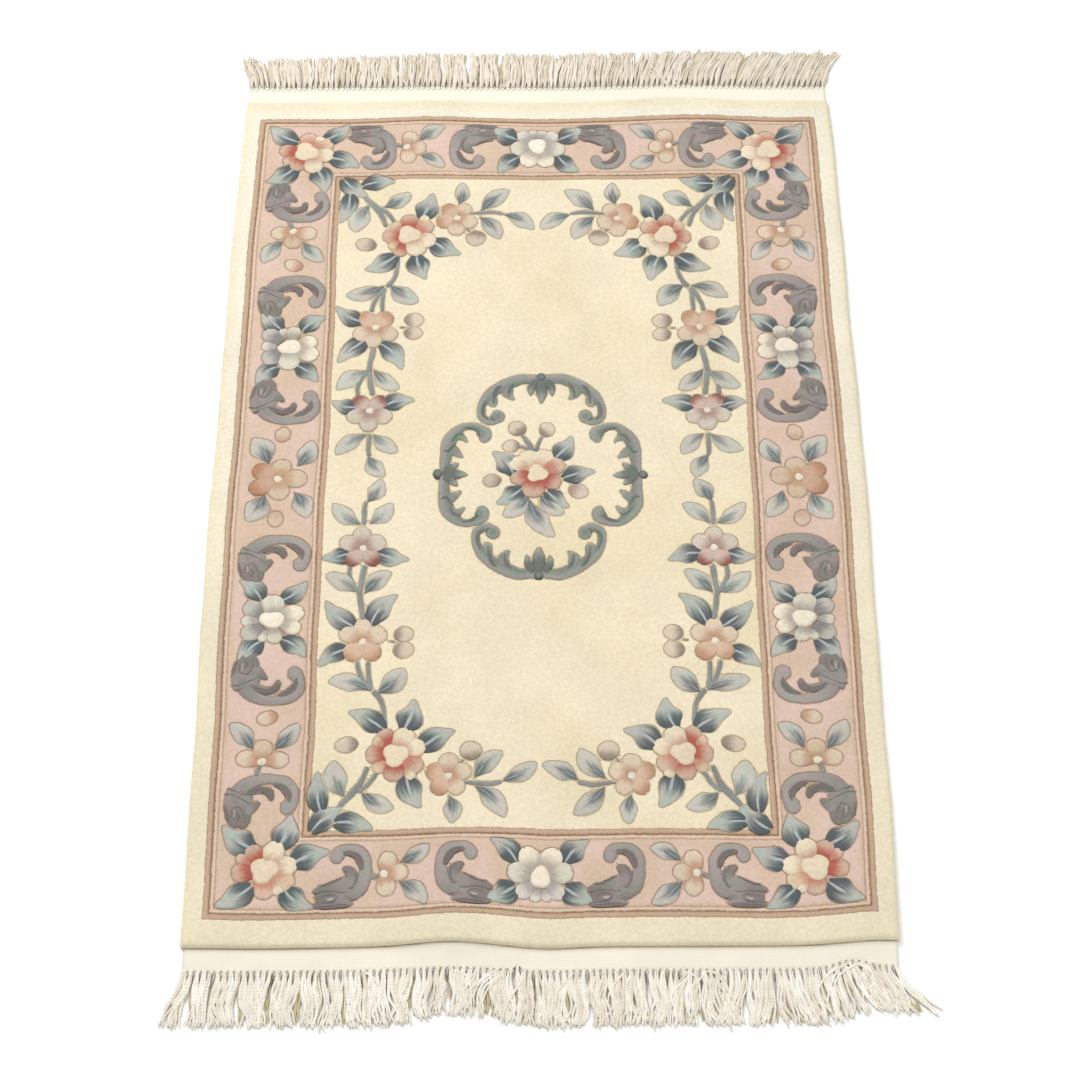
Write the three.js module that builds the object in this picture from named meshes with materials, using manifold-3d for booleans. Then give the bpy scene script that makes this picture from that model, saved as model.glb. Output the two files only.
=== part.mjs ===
import * as THREE from "three";
import { mergeVertices } from "three/addons/utils/BufferGeometryUtils.js";
import Module from "manifold-3d";

const { clamp, lerp, smoothstep } = THREE.MathUtils;

// A hand-carved wool rug lying flat, in millimetres, +Z up. The origin is on the floor under the
// middle of the pile. The near end faces -Y and the far end +Y.

const pile = {
  halfWidth: 602, // at the corners
  halfLength: 914,
  thickness: 14,
  edgeRound: 8, // the shorn edge rolls over this far
  sideBow: 10, // the long sides stand out this much at mid length
  stepX: 88, // spacing of the face's plain stretches
  stepY: 142,
};

// The flowered band runs between two lines that are carved into the face.
const band = { outerX: 560, outerY: 867, innerX: 401, innerY: 713 };
const groove = { halfWidth: 4, depth: 2 };

// How far the carved forms stand above the ground of the pile, and how deep they are rooted in it.
const relief = { height: 1.5, heart: 1.3, root: 3 };

// The flat-woven strip between the pile and the knots of the fringe.
const web = { halfWidth: 595, depth: 38, thickness: 3, gap: 0.3, straighten: 0.35, rows: 2 };

const looseEnds = { count: 108, unevenLength: 5, sway: 3.2, swayWave: 37, driftWave: 62, curl: 1.3 };

// One loose end from its root inside the web to its tip: out is the distance from the web's edge,
// and share is a share of the loose end's length.
const strandSections = [
  { out: -3, width: 4, height: 0.9, lift: 0.6 },
  { out: 6, width: 8.4, height: 5.5, lift: 0 },
  { out: 15, width: 6.6, height: 3.6, lift: 0 },
  { share: 0.6, width: 5.6, height: 3.4, lift: 0 },
  { share: 1, width: 3.6, height: 2, lift: 0 },
];

// Each end has its own gentle buckles, and its loose ends lean and shorten in places. A row's
// effect is greatest at its x and dies away over its reach.
const near = {
  sign: -1,
  length: 100,
  drift: 8,
  buckles: [
    { at: -470, reach: 110, shift: -2, lift: 0 },
    { at: -150, reach: 85, shift: 8, lift: 6 },
    { at: 15, reach: 55, shift: -4, lift: 0 },
    { at: 570, reach: 85, shift: 8, lift: 4 },
  ],
  leans: [
    { at: -610, reach: 90, lean: -30 },
    { at: 610, reach: 120, lean: 50 },
  ],
  cuts: [
    { at: -138, reach: 78, cut: 17 },
    { at: 560, reach: 60, cut: 14 },
  ],
};
const far = {
  sign: 1,
  length: 94,
  drift: 2,
  buckles: [
    { at: -240, reach: 90, shift: 3, lift: 2 },
    { at: 25, reach: 70, shift: -3, lift: 0 },
    { at: 290, reach: 120, shift: 7, lift: 4 },
  ],
  leans: [
    { at: -600, reach: 80, lean: -18 },
    { at: 560, reach: 480, lean: 27 },
  ],
  cuts: [{ at: -590, reach: 260, cut: 12 }],
};
const buckleReach = 380; // the buckles have died away this far from an end

function sumRows(list, x, key) {
  return list.reduce((sum, row) => sum + row[key] * Math.exp(-(((x - row.at) / row.reach) ** 2)), 0);
}

// Moves a point of the flat plan to where the slightly uneven rug has it.
function lay(x, y, z) {
  const { buckles } = y < 0 ? near : far;
  const fade = 1 - smoothstep(pile.halfLength - Math.abs(y), 0, buckleReach);
  return {
    x,
    y: y + fade * sumRows(buckles, x, "shift"),
    z: z + fade * sumRows(buckles, x, "lift"),
  };
}

function sideBow(x, y) {
  const share = smoothstep(Math.abs(x), band.innerX, band.outerX);
  return Math.sign(x) * pile.sideBow * share * (1 - (y / pile.halfLength) ** 2);
}

// Grid lines of the face on one axis: close at the rolled edge and the grooves, wide elsewhere.
function gridLines(half, outerLine, innerLine, spacing) {
  const edge = [half, half - 0.4 * pile.edgeRound, half - pile.edgeRound];
  for (const line of [outerLine, innerLine]) {
    edge.push(line + groove.halfWidth, line, line - groove.halfWidth);
  }
  edge.push((outerLine + innerLine) / 2);
  edge.sort((a, b) => b - a);
  const field = innerLine - groove.halfWidth;
  const steps = Math.round((2 * field) / spacing);
  const inner = Array.from({ length: steps - 1 }, (_, i) => (2 * field * (i + 1)) / steps - field);
  return [...edge.map((line) => -line), ...inner, ...edge.toReversed()];
}

const columns = gridLines(pile.halfWidth, band.outerX, band.innerX, pile.stepX);
const rows = gridLines(pile.halfLength, band.outerY, band.innerY, pile.stepY);

function frameDepth(x, y, lineX, lineY) {
  const away = Math.abs(Math.max(Math.abs(x) - lineX, Math.abs(y) - lineY));
  return groove.depth * Math.max(0, 1 - away / groove.halfWidth);
}

function faceHeight(x, y) {
  const fromEdge = Math.min(pile.halfWidth - Math.abs(x), pile.halfLength - Math.abs(y));
  const roll = Math.max(0, 1 - fromEdge / pile.edgeRound);
  const rolled = pile.edgeRound * (1 - Math.sqrt(1 - roll ** 2));
  const outerLine = frameDepth(x, y, band.outerX, band.outerY);
  const innerLine = frameDepth(x, y, band.innerX, band.innerY);
  return pile.thickness - rolled - outerLine - innerLine;
}

function movePoints(geometry, place) {
  const points = geometry.getAttribute("position");
  for (let i = 0; i < points.count; i += 1) {
    const to = place(points.getX(i), points.getY(i), points.getZ(i));
    points.setXYZ(i, to.x, to.y, to.z);
  }
  return geometry;
}

// Picks the entry of a list that a coordinate between -0.5 and 0.5 stands for.
function entryAt(list, u) {
  return list[Math.round((u + 0.5) * (list.length - 1))];
}

function slab() {
  const box = new THREE.BoxGeometry(1, 1, 1, columns.length - 1, rows.length - 1, 1);
  return movePoints(box, (u, v, w) => {
    const x = entryAt(columns, u);
    const y = entryAt(rows, v);
    return lay(x + sideBow(x, y), y, w > 0 ? faceHeight(x, y) : 0);
  });
}

// A carved form stands on the face: its outline is raised from inside the pile.
function raise(shape, height) {
  const options = { depth: relief.root + height, bevelEnabled: false };
  const base = pile.thickness - relief.root;
  return movePoints(new THREE.ExtrudeGeometry(shape, options), (x, y, z) => lay(x, y, base + z));
}

// A flower head has a notch between petals, and a raised heart.
const bloom = { notch: 0.2, pointsPerPetal: 3, heartShare: 0.4, heartPoints: 6 };

function ringShape(count, radiusAt, x, y) {
  const points = Array.from({ length: count }, (_, i) => {
    const turn = (i / count) * Math.PI * 2;
    const radius = radiusAt(turn);
    return new THREE.Vector2(x + radius * Math.cos(turn), y + radius * Math.sin(turn));
  });
  return new THREE.Shape(points);
}

function flower({ x, y, radius, petals }) {
  const petalRim = (turn) => 1 - bloom.notch * (1 - Math.abs(Math.sin((petals * turn) / 2)));
  const head = ringShape(petals * bloom.pointsPerPetal, (turn) => radius * petalRim(turn), x, y);
  const heart = ringShape(bloom.heartPoints, () => radius * bloom.heartShare, x, y);
  return [raise(head, relief.height), raise(heart, relief.height + relief.heart)];
}

// A scroll is a stroke of varying width along a smooth line through its rows.
function scroll(stroke, steps) {
  const line = new THREE.CatmullRomCurve3(stroke.map(({ x, y }) => new THREE.Vector3(x, y, 0)));
  const last = stroke.length - 1;
  const left = [];
  const right = [];
  for (let i = 0; i <= steps; i += 1) {
    const t = i / steps;
    const row = Math.min(Math.floor(t * last), last - 1);
    const half = lerp(stroke[row].w, stroke[row + 1].w, t * last - row) / 2;
    const at = line.getPoint(t);
    const along = line.getTangent(t);
    left.push(new THREE.Vector2(at.x - along.y * half, at.y + along.x * half));
    right.push(new THREE.Vector2(at.x + along.y * half, at.y - along.x * half));
  }
  return raise(new THREE.Shape([...left, ...right.toReversed()]), relief.height);
}

// Flowers of one quarter of the plan. One that lies on a middle line has fewer mirror images.
const flowers = [
  { x: 467, y: 776, radius: 54, petals: 6 },
  { x: 251, y: 572, radius: 55, petals: 6 },
  { x: 476, y: 298, radius: 54, petals: 7 },
  { x: 0, y: 788, radius: 52, petals: 7 },
  { x: 161, y: 622, radius: 42, petals: 5 },
  { x: 318, y: 350, radius: 42, petals: 5 },
  { x: 322, y: 158, radius: 42, petals: 5 },
  { x: 482, y: 0, radius: 48, petals: 6 },
  { x: 0, y: 5, radius: 52, petals: 6 },
];

// C-shaped scrolls of one quarter, with the stroke's width w along each.
const sideScroll = [
  { x: 520, y: 700, w: 40 },
  { x: 522, y: 655, w: 44 },
  { x: 490, y: 622, w: 30 },
  { x: 448, y: 622, w: 22 },
  { x: 431, y: 650, w: 20 },
  { x: 452, y: 668, w: 16 },
];
const sidePlaces = [
  { flip: 1, shift: 0 },
  { flip: -1, shift: 1074 },
  { flip: 1, shift: -480 },
];
const endScroll = [
  { x: 372, y: 832, w: 26 },
  { x: 330, y: 822, w: 40 },
  { x: 302, y: 790, w: 26 },
  { x: 304, y: 757, w: 20 },
  { x: 332, y: 745, w: 18 },
  { x: 350, y: 760, w: 16 },
];
const endPlaces = [
  { flip: 1, shift: 0 },
  { flip: -1, shift: 455 },
];
const medallionArc = [
  { x: -76, y: 132, w: 20 },
  { x: -96, y: 128, w: 18 },
  { x: -120, y: 150, w: 20 },
  { x: -104, y: 196, w: 28 },
  { x: -62, y: 222, w: 30 },
  { x: 0, y: 228, w: 32 },
  { x: 62, y: 222, w: 30 },
  { x: 104, y: 196, w: 28 },
  { x: 120, y: 150, w: 20 },
  { x: 96, y: 128, w: 18 },
  { x: 76, y: 132, w: 20 },
];
const medallionSide = { narrow: 0.93, inwards: 38 };
const scrollSteps = 8;
const medallionSteps = 20;

function mirrorRow(row) {
  const signsX = row.x === 0 ? [1] : [1, -1];
  const signsY = row.y === 0 ? [1] : [1, -1];
  return signsX.flatMap((sx) => signsY.map((sy) => ({ ...row, x: row.x * sx, y: row.y * sy })));
}

function redraw(stroke, place) {
  return stroke.map((row) => ({ ...row, ...place(row) }));
}

function mirrorStroke(stroke) {
  const flipX = redraw(stroke, ({ x }) => ({ x: -x }));
  return [stroke, flipX].flatMap((half) => [half, redraw(half, ({ y }) => ({ y: -y }))]);
}

function carvedForms() {
  const side = sidePlaces.map(({ flip, shift }) =>
    redraw(sideScroll, ({ y }) => ({ y: y * flip + shift })),
  );
  const end = endPlaces.map(({ flip, shift }) =>
    redraw(endScroll, ({ x }) => ({ x: x * flip + shift })),
  );
  const { narrow, inwards } = medallionSide;
  const turned = redraw(medallionArc, ({ x, y }) => ({ x: y - inwards, y: x * narrow }));
  const arcs = [
    medallionArc,
    redraw(medallionArc, ({ y }) => ({ y: -y })),
    turned,
    redraw(turned, ({ x }) => ({ x: -x })),
  ];
  return [
    ...flowers.flatMap(mirrorRow).flatMap(flower),
    ...[...side, ...end].flatMap(mirrorStroke).map((stroke) => scroll(stroke, scrollSteps)),
    ...arcs.map((arc) => scroll(arc, medallionSteps)),
  ];
}

// The pile's end runs in straight steps between its columns, and the web's edge keeps to them.
function pileEnd({ sign }, x) {
  const next = clamp(columns.findIndex((column) => column >= x), 1, columns.length - 1);
  const [a, b] = [columns[next - 1], columns[next]];
  const share = (x - a) / (b - a);
  const line = sign * pile.halfLength;
  const [from, to] = [lay(a, line, 0), lay(b, line, 0)];
  return { shift: lerp(from.y, to.y, share) - line, lift: lerp(from.z, to.z, share) };
}

// A point of the web, across from 0 at the pile to 1 at the knots, where it lies on the floor.
function webPoint(end, x, across) {
  const { shift, lift } = pileEnd(end, x);
  const flat = pile.halfLength + web.gap + across * web.depth;
  return {
    x,
    y: end.sign * flat + shift * (1 - web.straighten * across),
    z: lift * (1 - across) ** 2,
  };
}

function webStrip(end) {
  const inside = columns.filter((x) => Math.abs(x) < web.halfWidth);
  const xs = [-web.halfWidth, ...inside, web.halfWidth];
  const box = new THREE.BoxGeometry(1, 1, 1, xs.length - 1, web.rows, 1);
  return movePoints(box, (u, v, w) => {
    const at = webPoint(end, entryAt(xs, u), end.sign * v + 0.5);
    return { ...at, z: at.z + (w > 0 ? web.thickness : 0) };
  });
}

// A knotted bunch of warp ends: three-sided and flat on the floor. Lean and length change
// smoothly along an end, so neighbours run side by side.
function looseEnd(end, index) {
  const span = 2 * web.halfWidth - strandSections[1].width;
  const x0 = span * (index / (looseEnds.count - 1) - 0.5);
  const root = webPoint(end, x0, 1);
  const goldenTurn = 2.4;
  const uneven = looseEnds.unevenLength * Math.sin(index * goldenTurn);
  const length = end.length - sumRows(end.cuts, x0, "cut") + uneven;
  const lean = sumRows(end.leans, x0, "lean") + end.drift * Math.sin(x0 / looseEnds.driftWave);
  const tube = new THREE.CylinderGeometry(1, 1, 1, 3, strandSections.length - 1);
  return movePoints(tube, (u, v, w) => {
    const section = entryAt(strandSections, v * end.sign);
    const out = section.out ?? section.share * length;
    const run = Math.max(0, out) / length;
    const sway = looseEnds.sway * run * Math.sin(x0 / looseEnds.swayWave + 3 * run);
    return {
      x: x0 + lean * run ** looseEnds.curl + sway + (u / Math.sqrt(3)) * section.width,
      y: root.y + end.sign * out,
      z: section.lift + ((w + 0.5) / 1.5) * section.height,
    };
  });
}

const wasm = await Module();
wasm.setup();

function toSolid(geometry) {
  geometry.deleteAttribute("normal");
  geometry.deleteAttribute("uv");
  const merged = mergeVertices(geometry);
  const vertProperties = new Float32Array(merged.getAttribute("position").array);
  const triVerts = new Uint32Array(merged.index.array);
  return new wasm.Manifold(new wasm.Mesh({ numProp: 3, vertProperties, triVerts }));
}

function fuse(geometries) {
  const whole = geometries.map(toSolid).reduce((sum, solid) => sum.add(solid));
  const mesh = whole.getMesh();
  const geometry = new THREE.BufferGeometry();
  geometry.setAttribute("position", new THREE.BufferAttribute(mesh.vertProperties, 3));
  geometry.setIndex(new THREE.BufferAttribute(mesh.triVerts, 1));
  geometry.computeVertexNormals();
  return geometry;
}

function fringe(end) {
  const strands = Array.from({ length: looseEnds.count }, (_, index) => looseEnd(end, index));
  return fuse([webStrip(end), ...strands]);
}

const wool = new THREE.MeshStandardMaterial({ color: 0xe9d8b8, roughness: 0.95, metalness: 0 });
const cotton = new THREE.MeshStandardMaterial({ color: 0xeee8da, roughness: 0.9, metalness: 0 });

function piece(name, geometry, material) {
  const mesh = new THREE.Mesh(geometry, material);
  mesh.name = name;
  return mesh;
}

const group = new THREE.Group();
group.add(piece("pile", fuse([slab(), ...carvedForms()]), wool));
group.add(piece("fringe_near", fringe(near), cotton));
group.add(piece("fringe_far", fringe(far), cotton));

export default group;
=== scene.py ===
import math
import random

import bpy
import numpy as np
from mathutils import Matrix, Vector, kdtree, noise


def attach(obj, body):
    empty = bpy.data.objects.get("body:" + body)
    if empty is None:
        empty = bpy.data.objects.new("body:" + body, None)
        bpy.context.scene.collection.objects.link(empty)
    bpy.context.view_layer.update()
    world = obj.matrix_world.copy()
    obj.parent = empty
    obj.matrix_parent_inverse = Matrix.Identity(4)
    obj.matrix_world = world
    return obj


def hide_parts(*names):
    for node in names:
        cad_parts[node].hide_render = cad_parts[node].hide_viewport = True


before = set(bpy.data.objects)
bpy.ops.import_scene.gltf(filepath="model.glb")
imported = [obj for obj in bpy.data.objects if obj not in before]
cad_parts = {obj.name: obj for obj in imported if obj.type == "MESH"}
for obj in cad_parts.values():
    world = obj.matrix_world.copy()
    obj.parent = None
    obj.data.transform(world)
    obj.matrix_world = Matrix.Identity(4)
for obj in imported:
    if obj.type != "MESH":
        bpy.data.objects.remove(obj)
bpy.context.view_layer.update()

mm = 0.001
seed = 11
rng = random.Random(seed)
# Without this the vector noise would follow the clock.
noise.seed_set(seed)

# Plan sizes are in millimetres, x to the right and y towards the far end. Every piece is drawn
# flat on the plan and then laid down by layDown, which follows the buckles of the solids.
rug = {
    "halfWidth": 602,
    "halfLength": 914,
    "thickness": 14,
    "edgeRound": 8,
    "step": 5.9,  # grid of the plain stretches
    "unevenness": 0.45,
}
stripes = {
    "outerX": 568,
    "outerY": 866,
    "innerX": 398,
    "innerY": 707,
    # How far in from either line each stripe ends.
    "tan": 10.3,
    "light": 16.8,
    "fine": 19.4,
    "secondLight": 24,
    # Carved lines: how far in, reach, depth.
    "carved": [(0, 1.8, 0.9), (10.3, 1.9, 1.8), (18.1, 1.7, 1.26)],
}
# A buckle's row is its x, its reach, how far it shifts the rug's end and how far it lifts it.
lie = {
    "bow": 10,
    "bowFromX": 401,
    "bowToX": 560,
    "reach": 380,
    "straightEnd": 40,  # the end lines waver less from here on
    "waver": 1.3,  # hand-made lines run this far out of true
    "near": [(-470, 110, -2, 0), (-150, 85, 8, 6), (15, 55, -4, 0), (570, 85, 8, 4)],
    "far": [(-240, 90, 3, 2), (25, 70, -3, 0), (290, 120, 7, 4)],
}


def smoothStep(x, low, high):
    t = np.clip((x - low) / (high - low), 0, 1)
    return t * t * (3 - 2 * t)


def bell(x, reach):
    return np.exp(-((x / reach) ** 2))


# Adds up rows of x, reach and one or more effects.
def sumRows(rows, x, column=2):
    return sum(row[column] * bell(x - row[0], row[1]) for row in rows)


def waver(t, phase):
    return lie["waver"] * (np.sin(t / 118 + phase) + 0.6 * np.sin(t / 47 + 2 * phase))


def layDown(x, y, z):
    share = smoothStep(np.abs(x), lie["bowFromX"], lie["bowToX"])
    bowed = x + np.sign(x) * lie["bow"] * share * (1 - (y / rug["halfLength"]) ** 2)
    fromEnd = rug["halfLength"] - np.abs(y)
    fade = 1 - smoothStep(fromEnd, 0, lie["reach"])
    near = np.asarray(y) < 0
    shift, lift = [
        np.where(near, sumRows(lie["near"], bowed, column), sumRows(lie["far"], bowed, column))
        for column in (2, 3)
    ]
    inside = np.clip(fromEnd, 0, lie["straightEnd"]) / lie["straightEnd"]
    laidX = bowed + waver(y, 0.7 + 0.9 * np.sign(x))
    laidY = y + fade * shift + waver(x, 2.1 + 0.8 * np.sign(y)) * inside
    return np.stack([laidX, laidY, z + fade * lift], axis=-1)


def stripeDistance(x, y):
    outer = np.minimum(stripes["outerX"] - np.abs(x), stripes["outerY"] - np.abs(y))
    inner = np.maximum(np.abs(x) - stripes["innerX"], np.abs(y) - stripes["innerY"])
    return np.minimum(outer, inner)


def pileTop(x, y):
    fromEdge = np.minimum(rug["halfWidth"] - np.abs(x), rug["halfLength"] - np.abs(y))
    roll = np.clip(1 - fromEdge / rug["edgeRound"], 0, 1)
    rolled = rug["edgeRound"] * (1 - np.sqrt(1 - roll**2))
    carved = sumRows(stripes["carved"], stripeDistance(x, y))
    rise = np.sin(x / 71 + 1.3) * np.sin(y / 93 + 0.4) + 0.6 * np.sin(x / 29 + y / 43)
    return rug["thickness"] - rolled - carved + rug["unevenness"] * rise


def linear(code):
    parts = [int(code[i : i + 2], 16) / 255 for i in (1, 3, 5)]
    return [p / 12.92 if p <= 0.04045 else ((p + 0.055) / 1.055) ** 2.4 for p in parts]


# The open pile gives back this much of the light that a flat sheet of the same dye would.
woolShare = 0.87
# The dyes as they look in daylight: at a shape's base, at its tip, how far along it the one fades
# into the other, and how strongly the pale midrib shows.
dyes = {
    "leaf": ("#5B6362", "#BCC0B2", 0.43, 0.8),
    "leafPale": ("#838981", "#CDCBBA", 0.52, 0.3),
    "leafGrey": ("#6E7673", "#CBC8B8", 0.6, 0.4),
    "stem": ("#8C908B", "#969A94", 0.5, 0),
    "deep": ("#B26150", "#CFB19C", 0.6, 0),
    "salmon": ("#C48775", "#D6BDA6", 0.58, 0),
    "blush": ("#C3937D", "#DAC4A7", 0.5, 0),
    "cream": ("#C5A38A", "#EADCC1", 0.42, 0),
    "ivory": ("#B9AFA1", "#F1E8D2", 0.5, 0),
    "heart": ("#E8D9BD", "#CCAD8F", 0.93, 0),
    "heartPale": ("#F3EAD6", "#CFC8B6", 0.92, 0),
    "stone": ("#ADA89C", "#DAD6C4", 0.46, 0),
    "dusk": ("#8D8886", "#C2BFB4", 0.5, 0),
    "haze": ("#AEA8A1", "#D9D4C9", 0.5, 0),
    "beige": ("#BF9F80", "#D3BFA6", 0.4, 0),
    "shell": ("#C09A80", "#DCCBB2", 0.36, 0),
    "mist": ("#B1968A", "#D5C9BA", 0.4, 0),
    "rosewood": ("#CDB8AA", "#945F57", 0.6, 0),
    "clay": ("#D6BAA1", "#C09679", 0.64, 0),
    "brick": ("#CBAA92", "#B98A6C", 0.58, 0),
    "bud": ("#9A8B7E", "#DBCDB8", 0.36, 0),
    "budDark": ("#A08F82", "#CABBA8", 0.4, 0),
    "budMauve": ("#9A8A7F", "#D6C8B4", 0.38, 0),
    "budFaint": ("#C9AD94", "#D7C2AC", 0.4, 0),
    "dot": ("#E8E0CC", "#CFC3AC", 0.95, 0),
    "scroll": ("#A8A19A", "#928C86", 0.72, 0),
    "scrollFoot": ("#9C958F", "#89827B", 0.5, 0),
    "scrollBand": ("#99928C", "#7A726C", 0.45, 0),
    "scrollLine": ("#958E88", "#716964", 0.27, 0),
    "scrollLight": ("#9A938D", "#B6B0AA", 0.2, 0),
    "ring": ("#848A80", "#9A9D94", 0.5, 0),
    "ringTooth": ("#8D9289", "#A3A597", 0.7, 0),
    "ringCrown": ("#6F766E", "#A2A79B", 0.66, 0),
    "ringBand": ("#898E84", "#696F67", 0.35, 0),
    "ringKnob": ("#7C827A", "#5C625B", 0.6, 0),
}

relief = {
    "sunk": 1.7,  # a shape's rim lies this far under the face, in the carved line
    "rimRun": 1.5,
    "domeRun": 7,
    "jitter": 1.2,
    "turn": 0.05,
    "unevenDye": 0.035,
    "unevenFade": 0.05,
    "thinnest": 0.3,
    "bandOver": 2.0,  # height of the bands of dye over the scrolls and the medallion
    "fray": 0.9,
    "frayWide": 1.3,
    "farOff": 20.0,  # carving no longer shows this far from a shape
}
patches = []


def vary(amount):
    return rng.uniform(-amount, amount)


def nudge():
    return vary(relief["jitter"])


def keepPatch(family, xy, height, along, across, edge, dye, wrap=False):
    baseDye, tipDye, fadeAt, rib = dyes[dye]
    tone = woolShare * (1 + vary(relief["unevenDye"]))
    base = [c * tone for c in linear(baseDye)] + [fadeAt + vary(relief["unevenFade"])]
    tip = [c * tone for c in linear(tipDye)] + [rib]
    shape = np.stack(np.broadcast_arrays(along, across, edge), axis=-1)
    made = {"family": family, "xy": xy, "height": height, "shape": shape}
    patches.append({**made, "base": base, "tip": tip, "wrap": wrap})


def domeHeight(edge, level, dome):
    rise = 1 - np.exp(-edge / relief["rimRun"])
    rounded = dome * (1 - np.exp(-edge / relief["domeRun"]))
    return -relief["sunk"] + (relief["sunk"] + level) * rise + rounded


# The way along a line, and the points at shares v of the half width to either side of it.
def widen(line, half, v):
    tangent = np.gradient(line, axis=0)
    tangent /= np.linalg.norm(tangent, axis=1, keepdims=True)
    normal = np.stack([-tangent[:, 1], tangent[:, 0]], axis=1)
    return tangent, line[:, None, :] + normal[:, None, :] * (half[:, None] * v)[..., None]


def distanceAlong(line):
    return np.concatenate([[0], np.cumsum(np.linalg.norm(np.diff(line, axis=0), axis=1))])


# A strip of pile along a centre line. The notch dents its far end, the lobes push its base back
# on both sides of the midrib, sideways makes the dye run across it instead of along it, and
# edgeward makes the dye run outwards as well.
def ribbon(family, centre, half, dye, level, dome, across=11, **form):
    notch, lobes = form.get("notch", 0), form.get("lobes", 0)
    sideways, edgeward = form.get("sideways", 0), form.get("edgeward", 0)
    half = np.maximum(half, relief["thinnest"])
    v = np.sin(np.linspace(-math.pi / 2, math.pi / 2, across))[None, :]
    tangent, xy = widen(centre, half, v)
    run = distanceAlong(centre)
    along = (run / run[-1])[:, None]
    back = notch * bell(v, 0.3) * along**7
    back = back + lobes * np.sin(math.pi * np.abs(v) ** 0.8) * (1 - smoothStep(along, 0, 0.4))
    xy = xy - tangent[:, None, :] * back[..., None]
    ends = np.minimum(run, run[-1] - run)[:, None]
    edge = np.minimum((1 - np.abs(v)) * half[:, None], ends * 0.8)
    height = domeHeight(edge, level, dome)
    if lobes:
        height = height - 0.8 * bell(v, 0.1) * smoothStep(edge, 0.5, 3)
    fade = 0.5 + 0.5 * sideways * v if sideways else along + edgeward * np.abs(v)
    keepPatch(family, xy, height, fade, v, edge, dye)


def disc(family, x, y, rx, ry, dye, turn=0.0, lobes=0, depth=0.0, level=1.0, dome=1.2, radial=True):
    r = np.sin(np.linspace(0.06, math.pi / 2, 8))[:, None]
    theta = np.linspace(0, 2 * math.pi, 28, endpoint=False)[None, :]
    rim = np.ones_like(theta)
    if lobes:
        rim = 1 - depth * (1 - np.abs(np.sin(lobes * theta / 2 + 0.6)))
    px, py = r * rim * rx * np.cos(theta), r * rim * ry * np.sin(theta)
    c, s = math.cos(turn), math.sin(turn)
    xy = np.stack([x + c * px - s * py, y + s * px + c * py], axis=-1)
    edge = (1 - r) * rim * min(rx, ry)
    along = r + 0 * theta if radial else (1 + r * rim * np.cos(theta)) / 2
    keepPatch(family, xy, domeHeight(edge, level, dome), along, np.sin(theta) * r, edge, dye, True)


def spread(count):
    return (1 - np.cos(np.linspace(0, math.pi, count))) / 2


# The dark leaves are heart-shaped at the base. The paler ones are narrow there.
def leaf(baseX, baseY, tipX, tipY, width, dye="leaf"):
    base = np.array([baseX + nudge(), baseY + nudge()])
    way = np.array([tipX + nudge(), tipY + nudge()]) - base
    side = np.array([-way[1], way[0]])
    bend = rng.choice([-1, 1]) * rng.uniform(0.06, 0.13)
    u = spread(17)
    sway = np.sin(math.pi * u**0.9) * 0.55 - 0.75 * u**3 + 0.2 * u
    centre = base + way * u[:, None] + side * bend * sway[:, None]
    if dye == "leaf":
        t = np.clip((u - 0.3) / 0.7, 0, 1)
        swell = 0.5 + 0.5 * np.sin(math.pi / 2 * np.clip(u / 0.3, 0, 1))
        full = swell * (1 - t) ** 0.65 * (1 + 0.5 * t) * (1 - 0.36 * smoothStep(t, 0.15, 0.75))
        form = {"lobes": 0.17 * width}
    else:
        t = np.clip((u - 0.5) / 0.5, 0, 1)
        full = smoothStep(u, -0.06, 0.5) * (1 - t) ** 0.75 * (1 + 0.6 * t)
        form = {"edgeward": 0.42}
    half = 0.53 * width * full * (1 + 0.05 * np.sin(8 * u + rng.uniform(0, 6)))
    ribbon("leaves", centre, half, dye, 0.5, 0.7, **form)


def petal(family, heartX, heartY, dx, dy, width, dye, level):
    widest = 0.56
    angle = vary(relief["turn"]) + math.atan2(dy, dx)
    out = np.array([math.cos(angle), math.sin(angle)])
    far = math.hypot(dx, dy)
    inner = max(2.0, far - 0.8 * width)
    outer = far + 0.44 * width + nudge()
    u = spread(14)
    centre = np.array([heartX, heartY]) + out * (inner + (outer - inner) * u)[:, None]
    blunt = np.sqrt(np.clip(1 - ((u - widest) / (1 - widest)) ** 2, 0, 1))
    waist = 0.5 + 0.5 * np.sin(math.pi / 2 * np.clip(u / widest, 0, 1))
    half = width / 2 * np.where(u > widest, blunt, waist) * (1 + vary(0.04))
    half[0] = relief["thinnest"]
    ribbon(family, centre, half, dye, level, 1.1, notch=0.06 * width)


def smoothLine(points, count):
    points = np.asarray(points, dtype=float)
    padded = np.vstack([2 * points[0] - points[1], points, 2 * points[-1] - points[-2]])
    t = np.linspace(0, len(points) - 1, count)
    i = np.minimum(t.astype(int), len(points) - 2)
    f = (t - i)[:, None]
    a, b, c, d = [padded[i + k] for k in range(4)]
    curve = (2 * a - 5 * b + 4 * c - d) * f**2 + (3 * b - a - 3 * c + d) * f**3
    return 0.5 * (2 * b + (c - a) * f + curve)


# A brush stroke through rows of x, y and width, with both ends rounded off.
def brushLine(rows, perRow):
    line = smoothLine(rows, perRow * (len(rows) - 1) + 1)
    centre, half = line[:, :2], line[:, 2] / 2
    run = distanceAlong(centre)
    full = np.maximum(half, relief["thinnest"])
    for distance in (run, run[-1] - run):
        half = half * np.sqrt(1 - (1 - np.clip(distance / full, 0, 1)) ** 2)
    return centre, np.maximum(half, relief["thinnest"])


def stroke(family, rows, dye, level=0.8, dome=0.8, sideways=0):
    centre, half = brushLine(rows, 6)
    ribbon(family, centre, half, dye, level, dome, across=9, sideways=sideways)


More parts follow.
